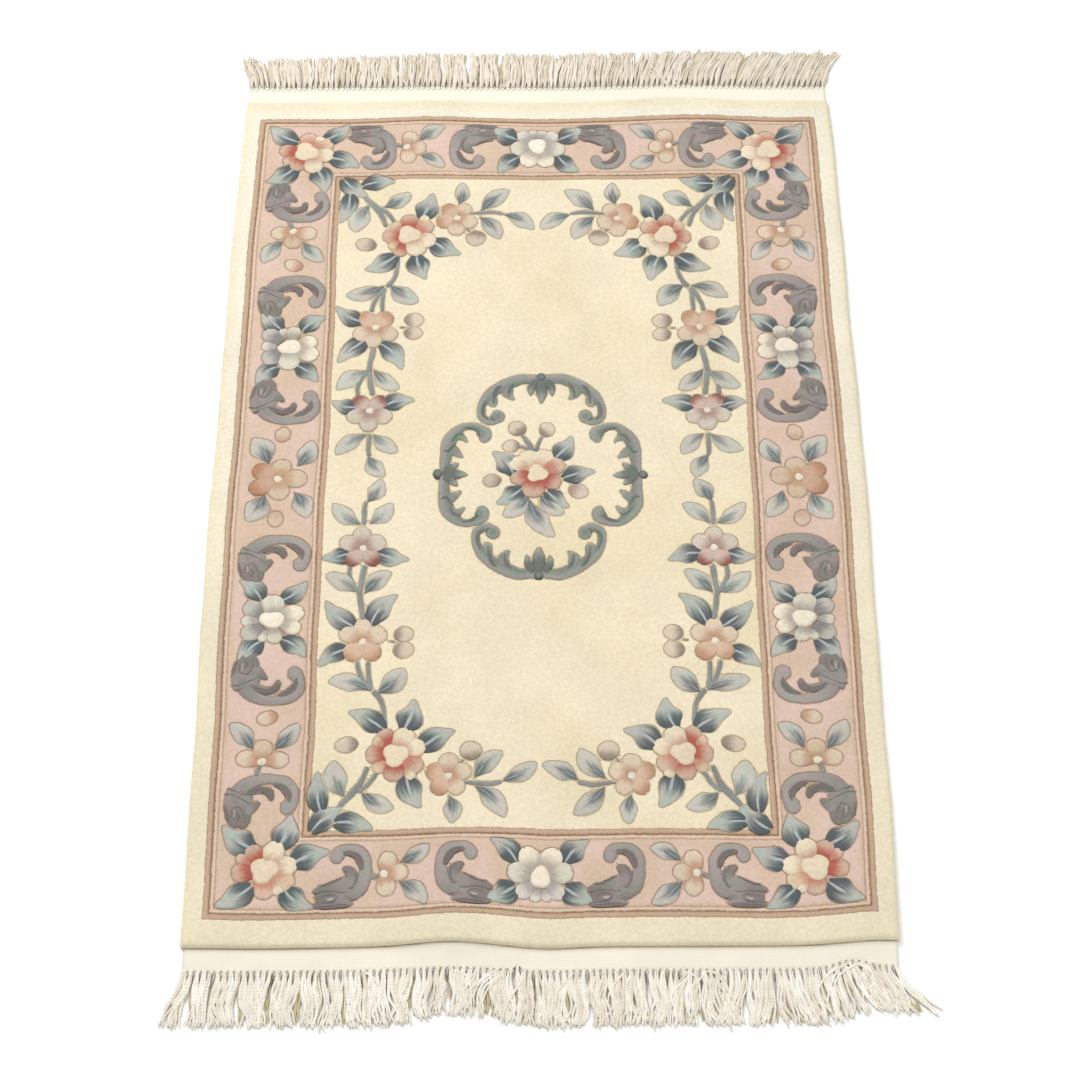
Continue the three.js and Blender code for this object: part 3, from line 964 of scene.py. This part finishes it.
def makeStrip(name, end):
    columns, rows = strip["columns"], strip["rows"]
    xs = np.linspace(-strip["halfWidth"], strip["halfWidth"], columns)
    x, across = [grid.ravel() for grid in np.meshgrid(xs, np.linspace(0, strip["over"], rows))]
    ripple = noiseOver(x / 55, across * 1.1, end["sign"] * 3) + 0.45
    ripple = strip["ripple"] * ripple * np.sin(math.pi * np.clip(across, 0, 1))
    thread = strip["thread"] * noiseOver(x / 9, across * 5, end["sign"])
    z = strip["thickness"] + ripple + thread
    top = stripPoint(end, x, across, np.maximum(z, strip["thinnest"]))
    low = stripPoint(end, x, across, 0 * z + strip["clearance"])
    count = len(top)
    faces, ring = gridFaces(rows, columns), rimLoop(rows, columns)
    if signedArea(top[np.array(faces[0])]) < 0:
        faces = [face[::-1] for face in faces]
    if signedArea(top[ring]) <= 0:
        ring = ring[::-1]
    lowFaces = [[k + count for k in face[::-1]] for face in faces]
    walls = [[a, a + count, b + count, b] for a, b in zip(ring, ring[1:] + ring[:1])]
    return makeMesh(name, np.concatenate([top, low]), faces + lowFaces + walls)


print("building the end strips")
stripNear = makeStrip("stripNear", ends["near"])
stripFar = makeStrip("stripFar", ends["far"])

yarn = {
    "count": 108,
    "plies": 9,
    "underPlies": 2,
    "sections": 19,
    "sides": 5,
    "radius": 2.8,
    "flatness": 0.68,
    "knotLength": 8,
    "knotWidth": 8.2,
    "knotHeight": 5.0,
    "knotRings": 9,
    "knotSides": 12,
    "neck": 5,
    "underShade": 0.42,
}
# Painted shade: the lower yarns take this darker tone, which shows in the gaps between the yarns.
underShadeTone = "#C9BC98"
wholeTurn = 6.28
# The middles of the first and the last knot are this far apart.
knotSpan = 2 * strip["halfWidth"] - yarn["knotWidth"]


def knotX(index):
    return knotSpan * (index / (yarn["count"] - 1) - 0.5)


def rootY(end, x):
    return stripPoint(end, np.array([x]), np.array([1.0]), np.array([0.0]))[0][1]


def tubes(centres, radii):
    tangent = np.gradient(centres, axis=1)
    tangent /= np.linalg.norm(tangent, axis=2, keepdims=True)
    side = np.cross(tangent, np.array([0.0, 0.0, 1.0]))
    side /= np.linalg.norm(side, axis=2, keepdims=True)
    rise = np.cross(side, tangent)
    turn = np.linspace(0, 2 * math.pi, yarn["sides"], endpoint=False)
    ring = side[:, :, None, :] * np.cos(turn)[None, None, :, None]
    ring = ring + yarn["flatness"] * rise[:, :, None, :] * np.sin(turn)[None, None, :, None]
    return centres[:, :, None, :] + ring * radii[:, :, None, None]


# Each yarn is its path, its radii and its dye, which for the lower yarns is a painted shade tone.
# Neighbouring bunches keep together in locks.
def fringeYarns(end):
    sign, waviness = end["sign"], end["waviness"]
    made = []
    s = np.linspace(0, 1, yarn["sections"])
    lockCentre, lockLeft = 0.0, 0
    pitch = knotSpan / (yarn["count"] - 1)
    for index in range(yarn["count"]):
        x0 = knotX(index)
        if lockLeft == 0:
            lockLeft = rng.choice([1, 2, 2, 3])
            lockCentre = x0 + pitch * (lockLeft - 1) / 2
            lockPhase = rng.uniform(0, wholeTurn)
            lockLean = rng.gauss(0, 7.5) * waviness
            lockWave = rng.uniform(2.5, 7.5) * waviness
            lockFreq = rng.uniform(0.6, 1.3)
        lockLeft -= 1
        cut = sumRows(end["cuts"], x0)
        lean = sumRows(end["leans"], x0) + end["drift"] * math.sin(x0 / 62) + lockLean
        parted = 0.0
        for at, reach, opening in end["partings"]:
            away = (x0 - at) / reach
            parted += opening * away * math.exp(-(away**2))
        for ply in range(yarn["plies"]):
            under = ply < yarn["underPlies"]
            length = end["length"] - cut - yarn["knotLength"] - 4 + rng.gauss(0, 3.4)
            if under:
                length -= 5
                off = pitch * (ply / yarn["underPlies"] - 0.25)
            else:
                off = rng.uniform(-0.48, 0.48) * pitch
            gather = (lockCentre - x0) * rng.uniform(0.1, 0.8) + rng.gauss(0, 2.6)
            gather = gather - lockLean if under else gather + parted
            phase = lockPhase + rng.gauss(0, 0.4)
            wave = lockWave * np.sin(wholeTurn * lockFreq * s + phase) * s**0.7
            wave = wave * (0.3 if under else 1.0)
            own = rng.uniform(0.6, 2.4) * waviness
            own = own * np.sin(wholeTurn * rng.uniform(1.3, 3.0) * s + rng.uniform(0, wholeTurn))
            curl = rng.gauss(0, 6.0) * waviness * s**3
            opened = (1 - 0.15 * s) * (1.0 if under else 0.5 + 0.5 * smoothStep(s, 0, 0.4))
            x = x0 + off * opened + gather * s**1.2 + lean * s**1.3 + wave + own * s**0.5 + curl
            run = yarn["knotLength"] - 3 + (length + 5) * s * (1 - 0.03 * rng.random())
            layer = rng.uniform(0, 0.3) if under else rng.uniform(0.8, 4.0)
            z = 2.2 + layer * np.sin(math.pi * np.clip(s * 0.8 + 0.16, 0, 1)) + 1.2 * (1 - s) ** 3
            path = np.stack([x, rootY(end, x0) + sign * run, z], axis=-1)
            grown = (0.45 + 0.55 * smoothStep(s, 0, 0.25)) * (1 - 0.55 * s**4)
            radius = yarn["radius"] * end["thickness"] * rng.uniform(0.75, 1.12) * grown
            made.append((path, radius, underShadeTone if under else rng.choice(end["dyes"])))
    return made


# Single yarns lie crosswise over the rest, most of them where the fringe parts.
def strayYarns(end):
    s = np.linspace(0, 1, yarn["sections"])
    made = []
    for _ in range(end["tangle"]):
        x0 = rng.choice([-145, -80, 265, 515, rng.uniform(-560, 560)]) + rng.uniform(-25, 25)
        reach = rng.choice([-1, 1]) * rng.uniform(14, 42)
        length = rng.uniform(55, 85)
        x = x0 + reach * np.sin(math.pi * 0.5 * s)
        x = x + rng.uniform(2, 6) * np.sin(wholeTurn * s * rng.uniform(0.7, 1.4))
        run = length * (s - 0.25 * np.sin(math.pi * s) * rng.random())
        y = rootY(end, x0) + end["sign"] * (yarn["knotLength"] - 2 + run)
        z = 3.0 + 4.0 * np.sin(math.pi * np.clip(s, 0.05, 0.95)) ** 0.7
        radius = yarn["radius"] * rng.uniform(0.7, 0.9) * (1 - 0.5 * s**3)
        made.append((np.stack([x, y, z], axis=-1), radius, rng.choice(end["dyes"])))
    return made


def makeFringe(name, end):
    paths, radii, tones = zip(*(fringeYarns(end) + strayYarns(end)))
    rings = tubes(np.array(paths), np.array(radii))
    count, sections, sides = rings.shape[:3]
    block = sections * sides
    faces = []
    for k in range(count):
        faces += tubeFaces(sections, sides, k * block)
    obj = makeMesh(name, rings.reshape(-1, 3), faces)
    along = np.linspace(0, 1, sections)[None, :, None]
    around = np.linspace(0, 1, sides, endpoint=False)[None, None, :]
    chance = np.array([rng.random() for _ in range(count)])[:, None, None]
    shape = np.stack(np.broadcast_arrays(along, around, chance), axis=-1)
    addAttribute(obj, "shape", "FLOAT_VECTOR", shape)
    # The alpha carries the painted shade at the roots of the lower yarns.
    shades = [yarn["underShade"] if tone == underShadeTone else 1.0 for tone in tones]
    colours = np.array([linear(tone) + [shade] for tone, shade in zip(tones, shades)])
    addAttribute(obj, "yarnDyeAndShade", "FLOAT_COLOR", np.repeat(colours, block, axis=0))
    return obj


def makeKnots(name, end):
    points, faces = [], []
    rings, sides = yarn["knotRings"], yarn["knotSides"]
    total = yarn["neck"] + yarn["knotLength"]
    t = np.linspace(0, 1, rings)[:, None]
    turn = np.linspace(0, 2 * math.pi, sides, endpoint=False)[None, :]
    for index in range(yarn["count"]):
        neck = 0.72 + 0.34 * bell(t - 0.42, 0.34)
        neck = neck * (1 - 0.4 * t**4) * (1 + 0.06 * np.sin(3 * turn + 9 * t + index))
        tilt = rng.uniform(-0.12, 0.12)
        x = knotX(index)
        y = rootY(end, x) + end["sign"] * (total * t - 2) + 0 * turn
        x = x + yarn["knotWidth"] / 2 * neck * np.cos(turn) + tilt * total * t
        tall = yarn["knotHeight"] / 2 * neck * rng.uniform(0.9, 1.1)
        z = np.maximum(tall * (1 + 0.9 * np.sin(turn)), 0.1)
        points.append(np.stack([x, y, z], axis=-1).reshape(-1, 3))
        faces += tubeFaces(rings, sides, index * rings * sides)
    return makeMesh(name, np.concatenate(points), faces)


print("building the fringe")
fringeNear = makeFringe("fringeNear", ends["near"])
fringeFar = makeFringe("fringeFar", ends["far"])
knotsNear = makeKnots("knotsNear", ends["near"])
knotsFar = makeKnots("knotsFar", ends["far"])


# Node helpers. An input may be a value or another node's output.
def addNode(tree, kind, inputs=None, **settings):
    made = tree.nodes.new("ShaderNode" + kind if not kind.startswith("Node") else kind)
    made.location = (190 * (len(tree.nodes) % 9), -230 * (len(tree.nodes) // 9))
    for name, value in settings.items():
        setattr(made, name, value)
    for name, value in (inputs or {}).items():
        if isinstance(value, bpy.types.NodeSocket):
            tree.links.new(value, made.inputs[name])
        else:
            made.inputs[name].default_value = value
    return made


def calc(tree, operation, *values):
    return addNode(tree, "Math", dict(enumerate(values)), operation=operation).outputs[0]


def times(tree, a, b):
    return calc(tree, "MULTIPLY", a, b)


def plus(tree, a, b):
    return calc(tree, "ADD", a, b)


def minus(tree, a, b):
    return calc(tree, "SUBTRACT", a, b)


def split(tree, vector):
    return addNode(tree, "SeparateXYZ", {0: vector}).outputs


def grey(tree, tone):
    return addNode(tree, "CombineColor", {0: tone, 1: tone, 2: tone}).outputs[0]


def mixColour(tree, factor, a, b, blend="MIX"):
    inputs = {0: factor, 6: a, 7: b}
    return addNode(tree, "Mix", inputs, data_type="RGBA", blend_type=blend).outputs[2]


def tinted(tree, a, b):
    return mixColour(tree, 1.0, a, b, "MULTIPLY")


def rampTo(tree, value, fromMin, fromMax, toMin=0.0, toMax=1.0):
    inputs = {"Value": value, "From Min": fromMin, "From Max": fromMax}
    inputs.update({"To Min": toMin, "To Max": toMax})
    return addNode(tree, "MapRange", inputs, interpolation_type="SMOOTHSTEP").outputs[0]


def noiseAt(tree, vector, scale, detail=2.0, roughness=0.55):
    inputs = {"Vector": vector, "Scale": scale, "Detail": detail, "Roughness": roughness}
    return addNode(tree, "TexNoise", inputs).outputs[0]


def waves(tree, vector, scale, direction, distortion, **more):
    inputs = {"Vector": vector, "Scale": scale, "Distortion": distortion, **more}
    return addNode(tree, "TexWave", inputs, bands_direction=direction).outputs[1]


def newGroup(name, inputs, outputs):
    group = bpy.data.node_groups.new(name, "ShaderNodeTree")
    for way, sockets in (("INPUT", inputs), ("OUTPUT", outputs)):
        for label, kind in sockets.items():
            group.interface.new_socket(label, in_out=way, socket_type="NodeSocket" + kind)
    return group, addNode(group, "NodeGroupInput").outputs, addNode(group, "NodeGroupOutput").inputs


def useGroup(tree, group, inputs):
    return addNode(tree, "Group", inputs, node_tree=group).outputs


def colour(code, share=1.0):
    return (*[c * share for c in linear(code)], 1.0)


# Cut wool: tuft ends of about a millimetre, uneven shearing, and soft patches of painted sheen and
# shade where the nap turns.
def makeWoolNap():
    group, given, out = newGroup(
        "woolNap",
        {"Place": "Vector", "Colour": "Color", "Mottle": "Float"},
        {"Colour": "Color", "Roughness": "Float", "Height": "Float"},
    )
    tufts = noiseAt(group, given["Place"], 700, 3.0, 0.65)
    shear = noiseAt(group, given["Place"], 135, 2.0)
    patch = noiseAt(group, given["Place"], 8, 3.0)
    speck = rampTo(group, tufts, 0.3, 0.7, 0.88, 1.07)
    # Painted sheen and shade: the tone rises and falls in soft patches where the nap turns.
    napSheenPatch = rampTo(group, patch, 0.3, 0.7, 0.96, 1.03)
    tone = times(group, speck, rampTo(group, shear, 0.32, 0.68, 0.95, 1.04))
    tone = minus(group, times(group, tone, napSheenPatch), 1.0)
    tone = plus(group, times(group, tone, given["Mottle"]), 1.0)
    group.links.new(tinted(group, given["Colour"], grey(group, tone)), out["Colour"])
    group.links.new(rampTo(group, shear, 0.2, 0.8, 0.86, 0.97), out["Roughness"])
    height = calc(group, "MULTIPLY_ADD", shear, 0.8, times(group, tufts, 0.6))
    group.links.new(height, out["Height"])
    return group


# Paints shade on what lies within a few millimetres of a carved line, where the groove's shadow
# falls, and lowers it.
def makeCarvedLine():
    group, given, out = newGroup(
        "carvedLineShade",
        {"Colour": "Color", "Distance": "Float", "Shade": "Color", "Width": "Float"},
        {"Colour": "Color", "Height": "Float"},
    )
    level = rampTo(group, given["Distance"], 0.0, given["Width"])
    dark = tinted(group, given["Colour"], given["Shade"])
    group.links.new(mixColour(group, level, dark, given["Colour"]), out["Colour"])
    group.links.new(level, out["Height"])
    return group


# The dye runs from one colour to the next in brush-like streaks along the shape.
def makeDyeFade():
    inputs = {"Base": "Color", "Tip": "Color", "Shape": "Vector", "Place": "Vector"}
    inputs.update({"FadeAt": "Float", "Rib": "Float", "Streak": "Float"})
    group, given, out = newGroup("dyeFade", inputs, {"Colour": "Color"})
    part, spot = split(group, given["Shape"]), split(group, given["Place"])
    seed = times(group, plus(group, spot[0], spot[1]), 11.0)
    stretched = {0: times(group, part[1], 3.2), 1: times(group, part[0], 0.9), 2: seed}
    stretched = addNode(group, "CombineXYZ", stretched).outputs[0]
    streak = minus(group, noiseAt(group, stretched, 1.6, 2.5), 0.5)
    streak = times(group, streak, given["Streak"])
    travelled = minus(group, plus(group, part[0], streak), given["FadeAt"])
    dyed = mixColour(group, rampTo(group, travelled, -0.24, 0.26), given["Base"], given["Tip"])
    fromRib = calc(group, "ABSOLUTE", part[1])
    rib = times(group, rampTo(group, fromRib, 0.05, 0.17, 1.0, 0.0), given["Rib"])
    rib = times(group, rib, rampTo(group, part[0], 0.34, 0.6, 1.0, 0.0))
    group.links.new(mixColour(group, rib, dyed, colour("#C3CBC6", woolShare)), out["Colour"])
    return group


woolNap = makeWoolNap()
carvedLineShade = makeCarvedLine()
dyeFade = makeDyeFade()


def newMaterial(name, roughness=0.9, sheen=0.0):
    material = bpy.data.materials.new(name)
    material.use_nodes = True
    tree = material.node_tree
    shader = tree.nodes["Principled BSDF"]
    shader.inputs["Roughness"].default_value = roughness
    shader.inputs["Specular IOR Level"].default_value = 0.15
    shader.inputs["Sheen Weight"].default_value = sheen
    shader.inputs["Sheen Roughness"].default_value = 0.6
    return material, tree, shader


def attribute(tree, name):
    return addNode(tree, "Attribute", attribute_name=name).outputs


def objectPlace(tree):
    return addNode(tree, "TexCoord").outputs["Object"]


def paint(tree, shader, dyed, socket="Base Color"):
    tree.links.new(dyed, shader.inputs[socket])


def setBump(tree, shader, height, distance):
    bump = addNode(tree, "Bump", {"Height": height, "Distance": distance})
    paint(tree, shader, bump.outputs[0], "Normal")


# Painted shade along a carved line, out to the given width.
def shadeCarvedLine(tree, dyed, distance, shade, width):
    inputs = {"Colour": dyed, "Distance": distance, "Shade": colour(shade), "Width": width}
    return useGroup(tree, carvedLineShade, inputs)


# The nap goes over the dyes, and under is what it stands on.
def finishWool(tree, shader, place, dyed, mottle, under=0.0):
    nap = useGroup(tree, woolNap, {"Place": place, "Colour": dyed, "Mottle": mottle})
    paint(tree, shader, nap["Colour"])
    paint(tree, shader, nap["Roughness"], "Roughness")
    setBump(tree, shader, calc(tree, "MULTIPLY_ADD", nap["Height"], 0.5, under), 0.0014)


groundLook = {
    "field": "#F2E5C8",
    "fieldWarm": "#EBDDBA",
    "outerFar": "#F3ECD8",
    "outerNear": "#EEE3C6",
    "outerRim": "#EEE4C4",
    "tan": "#C9AC91",
    "tanInnerShade": "#BB997D",
    "light": "#DFC8B2",
    "fine": "#C3A189",
    "secondLight": "#D9C0AA",
    "pink": "#E0C5B7",
    "pinkTan": "#D9BFA7",
    "stain": "#A58C62",
    "wall": "#D0C095",
}
# Painted shade in the carved lines along the stripes and around the shapes.
groundShades = {"stripe": "#D1BDA8", "rim": "#E3DBCD"}


def makeGroundMaterial():
    material, tree, shader = newMaterial("woolGround", sheen=0.12)
    hue = {key: colour(code, woolShare) for key, code in groundLook.items()}
    place = objectPlace(tree)
    plan = split(tree, attribute(tree, "plan")["Vector"])
    ragged = times(tree, minus(tree, noiseAt(tree, place, 260, 2.0), 0.5), 5.5)
    swing = times(tree, minus(tree, noiseAt(tree, place, 40, 2.0), 0.5), 3.0)
    absX, absY = calc(tree, "ABSOLUTE", plan[0]), calc(tree, "ABSOLUTE", plan[1])
    fromOuterX = minus(tree, float(stripes["outerX"]), absX)
    fromOuterY = minus(tree, float(stripes["outerY"]), absY)
    outer = calc(tree, "MINIMUM", fromOuterX, fromOuterY)
    fromInnerX = minus(tree, absX, float(stripes["innerX"]))
    fromInnerY = minus(tree, absY, float(stripes["innerY"]))
    inner = calc(tree, "MAXIMUM", fromInnerX, fromInnerY)
    across = plus(tree, calc(tree, "MINIMUM", outer, inner), plus(tree, ragged, swing))

    clouds = rampTo(tree, noiseAt(tree, place, 3.4, 3.0), 0.42, 0.7)
    field = mixColour(tree, clouds, hue["field"], hue["fieldWarm"])
    farward = rampTo(tree, plan[1], -900.0, 700.0)
    margin = mixColour(tree, farward, hue["outerNear"], hue["outerFar"])
    # Towards the pile's edge the margin takes its rim tone, partly the wool's own tone there and
    # partly painted light that lifts the shade on the rolled near edge.
    rimLift = rampTo(tree, outer, -34.0, -12.0, 0.8, 0.0)
    margin = mixColour(tree, rimLift, margin, hue["outerRim"])
    banded = mixColour(tree, rampTo(tree, inner, -1.0, 1.0), field, margin)
    zones = rampTo(tree, noiseAt(tree, place, 9, 2.0), 0.36, 0.64)
    pink = mixColour(tree, zones, hue["pink"], hue["pinkTan"])
    # Painted shade: the tan stripe darkens towards the carved line at its inner edge.
    tanShade = rampTo(tree, across, 4.0, stripes["tan"])
    tan = mixColour(tree, tanShade, hue["tan"], hue["tanInnerShade"])

    starts = [0.0, stripes["tan"], stripes["light"], stripes["fine"], stripes["secondLight"]]
    stages = [tan, hue["light"], hue["fine"], hue["secondLight"], pink]
    for start, stage in zip(starts, stages):
        banded = mixColour(tree, rampTo(tree, across, start - 0.9, start + 0.9), banded, stage)
    # Painted shade along the carved stripe lines.
    fromTan = calc(tree, "ABSOLUTE", minus(tree, across, stripes["tan"]))
    fromLine = plus(tree, calc(tree, "ABSOLUTE", across), 0.6)
    toLine = calc(tree, "MINIMUM", fromLine, fromTan)
    lines = shadeCarvedLine(tree, banded, toLine, groundShades["stripe"], 1.8)
    # Painted shade on the ground around the carved shapes.
    carve = attribute(tree, "carve")["Fac"]
    rimShaded = shadeCarvedLine(tree, lines["Colour"], carve, groundShades["rim"], 1.7)
    wide = addNode(tree, "VectorMath", {0: place, 1: (1.0, 2.6, 1.0)}, operation="MULTIPLY")
    stain = noiseAt(tree, wide.outputs[0], 33, 4.0, 0.6)
    stain = rampTo(tree, stain, 0.745, 0.80, 0.0, 0.5)
    stained = mixColour(tree, stain, rimShaded["Colour"], hue["stain"])
    # Painted shade: the pile's side wall darkens towards its foot.
    wallShaded = mixColour(tree, rampTo(tree, plan[2], 0.0, 0.7), stained, hue["wall"])
    carvedHeight = plus(tree, lines["Height"], times(tree, rimShaded["Height"], 1.4))
    finishWool(tree, shader, place, wallShaded, 1.0, carvedHeight)
    return material


def makeShapeMaterial(name, shade, width, streak, casts):
    material, tree, shader = newMaterial(name, sheen=0.12)
    place = objectPlace(tree)
    base, tip = attribute(tree, "dyeBase"), attribute(tree, "dyeTip")
    shape = attribute(tree, "shape")["Vector"]
    inputs = {"Base": base["Color"], "Tip": tip["Color"], "Shape": shape, "Place": place}
    inputs.update({"FadeAt": base["Alpha"], "Rib": tip["Alpha"], "Streak": streak})
    faded = useGroup(tree, dyeFade, inputs)
    # Hand-dyed yarn drifts a little from one cast to another.
    drift = rampTo(tree, noiseAt(tree, place, 46, 3.0), 0.38, 0.62)
    dyed = tinted(tree, faded["Colour"], mixColour(tree, drift, *casts))
    # Painted shade along the shape's carved rim.
    rim = shadeCarvedLine(tree, dyed, split(tree, shape)[2], shade, width)
    finishWool(tree, shader, place, rim["Colour"], 1.15)
    return material


# Cotton of two close tones, with painted shade: darker by some share of a third where the weave or
# twist is low.
def cottonTone(tree, place, patches, codes, shadeFrom):
    scale, detail = patches
    clouds = rampTo(tree, noiseAt(tree, place, scale, detail), 0.35, 0.65)
    first, second, third = [colour(code) for code in codes]
    return mixColour(tree, rampTo(tree, *shadeFrom), mixColour(tree, clouds, first, second), third)


# Flat-woven cotton: fine crosswise ribs over the warp, slightly uneven.
def makeStripMaterial():
    material, tree, shader = newMaterial("flatCotton")
    place = objectPlace(tree)
    ribs = waves(tree, place, 95.0, "Y", 1.6, **{"Detail": 2.0, "Detail Scale": 3.0})
    weave = calc(tree, "MULTIPLY_ADD", waves(tree, place, 70.0, "X", 1.2), 0.5, ribs)
    codes = ["#EDE7D7", "#E8E2D4", "#D8D2C0"]
    # Painted shade where the weave is low.
    low = (weave, 0.0, 1.3, 0.2, 0.0)
    paint(tree, shader, cottonTone(tree, place, (9, 3.0), codes, low))
    paint(tree, shader, rampTo(tree, weave, 0.0, 1.5, 0.95, 0.82), "Roughness")
    setBump(tree, shader, weave, 0.0003)
    return material


# Loosely plied cotton: the twist winds around each yarn.
def makeYarnMaterial():
    material, tree, shader = newMaterial("pliedCotton")
    place = objectPlace(tree)
    part = split(tree, attribute(tree, "shape")["Vector"])
    winding = plus(tree, times(tree, part[0], 15.0), part[1])
    twist = calc(tree, "SINE", times(tree, winding, 2 * math.pi))
    fibres = noiseAt(tree, place, 900, 2.0)
    worn = rampTo(tree, noiseAt(tree, place, 60, 2.0), 0.35, 0.65, 0.93, 1.02)
    # Painted shade: each yarn darkens a little in the grooves of its twist.
    tone = times(tree, worn, rampTo(tree, twist, -1.0, 1.0, 0.95, 1.0))
    dye = attribute(tree, "yarnDyeAndShade")
    # Painted shade: the lower yarns darken towards the knots, where the gaps between the knots lie
    # in shadow.
    root = calc(tree, "MAXIMUM", rampTo(tree, part[0], 0.04, 0.42, 0.0, 1.0), dye["Alpha"])
    dyed = tinted(tree, dye["Color"], grey(tree, times(tree, tone, root)))
    paint(tree, shader, dyed)
    setBump(tree, shader, calc(tree, "MULTIPLY_ADD", fibres, 0.6, twist), 0.00025)
    return material


def makeKnotMaterial():
    material, tree, shader = newMaterial("knottedCotton")
    place = objectPlace(tree)
    turns = waves(tree, place, 120.0, "DIAGONAL", 3.0, Detail=2.0)
    codes = ["#EFE9DA", "#E4DCC9", "#D2C9B6"]
    # Painted shade where the knots' twist is low.
    low = (turns, 0.0, 0.5, 0.35, 0.0)
    paint(tree, shader, cottonTone(tree, place, (70, 2.0), codes, low))
    setBump(tree, shader, turns, 0.0006)
    return material


print("making the finishes")
woolGround = makeGroundMaterial()
greenish, bluish = (0.93, 1.0, 0.97, 1.0), (0.92, 0.98, 1.03, 1.0)
lavender, neutral = (1.04, 0.96, 1.03, 1.0), (1.0, 1.0, 1.0, 1.0)
peach = (1.02, 0.99, 0.98, 1.0)
# The colour after each name is the painted shade along the shapes' carved rims.
woolLeaf = makeShapeMaterial("woolLeaf", "#B0B3A6", 2.0, 0.6, (bluish, lavender))
woolPetal = makeShapeMaterial("woolPetal", "#C4AC98", 1.9, 0.35, (neutral, peach))
woolScroll = makeShapeMaterial("woolScroll", "#A69F99", 2.0, 0.4, (greenish, lavender))
flatCotton = makeStripMaterial()
pliedCotton = makeYarnMaterial()
knottedCotton = makeKnotMaterial()

woolPieces = {obj: woolPetal for obj in carved.values()}
woolPieces[carved["leaves"]] = woolPieces[carved["stems"]] = woolLeaf
woolPieces[carved["scrollwork"]] = woolPieces[carved["medallionRing"]] = woolScroll
woolPieces[pileGround] = woolGround
cottonPieces = {stripNear: flatCotton, stripFar: flatCotton}
cottonPieces.update({fringeNear: pliedCotton, fringeFar: pliedCotton})
cottonPieces.update({knotsNear: knottedCotton, knotsFar: knottedCotton})

for obj, finish in woolPieces.items():
    obj.data.materials.append(finish)
    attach(obj, "root")
for obj, finish in cottonPieces.items():
    obj.data.materials.append(finish)
    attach(obj, "root")
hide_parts("pile")
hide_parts("fringe_near")
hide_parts("fringe_far")

# The setting: a pale floor, a soft overhead light and a high camera at the near end. Places here
# are in metres.
studio = {
    "floorSize": 14000,  # in millimetres
    "worldStrength": 0.65,
    "keyPower": 185,
    "keySize": 3.2,
    "keyPlace": (-2.2, 2.4, 4.2),
    "fillPower": 60,
    "fillPlace": (3.0, -2.5, 3.6),
    "lens": 76.2,
    "cameraPlace": (-0.0024, -2.2216, 3.676),
    "cameraTurn": (29.685, 0.045, -0.204),
}


def makeFloor():
    half = studio["floorSize"] / 2
    corners = [(-half, -half, 0), (half, -half, 0), (half, half, 0), (-half, half, 0)]
    floor = makeMesh("floor", corners, [[0, 1, 2, 3]])
    material, tree, shader = newMaterial("paleFloor", roughness=0.7)
    tint = rampTo(tree, noiseAt(tree, objectPlace(tree), 1.5), 0.3, 0.7, 0.93, 0.95)
    paint(tree, shader, grey(tree, tint))
    floor.data.materials.append(material)


def putInScene(data, place, turn):
    obj = bpy.data.objects.new(data.name, data)
    obj.location = place
    obj.rotation_euler = turn
    bpy.context.scene.collection.objects.link(obj)
    return obj


def addSoftLight(name, place, power, size):
    data = bpy.data.lights.new(name, "AREA")
    data.energy = power
    data.size = size
    putInScene(data, place, (-Vector(place)).to_track_quat("-Z", "Y").to_euler())


def addCamera():
    data = bpy.data.cameras.new("camera")
    data.lens = studio["lens"]
    data.sensor_width = 36
    turn = [math.radians(angle) for angle in studio["cameraTurn"]]
    bpy.context.scene.camera = putInScene(data, studio["cameraPlace"], turn)


print("setting the studio")
makeFloor()
addSoftLight("keyLight", studio["keyPlace"], studio["keyPower"], studio["keySize"])
addSoftLight("fillLight", studio["fillPlace"], studio["fillPower"], studio["keySize"])
addCamera()
world = bpy.data.worlds.new("studioWorld")
world.use_nodes = True
backdrop = world.node_tree.nodes["Background"]
backdrop.inputs["Color"].default_value = (1.0, 0.99, 0.97, 1.0)
backdrop.inputs["Strength"].default_value = studio["worldStrength"]
bpy.context.scene.world = world
bpy.context.scene.view_settings.view_transform = "Standard"

bpy.context.view_layer.update()
print("finishing")
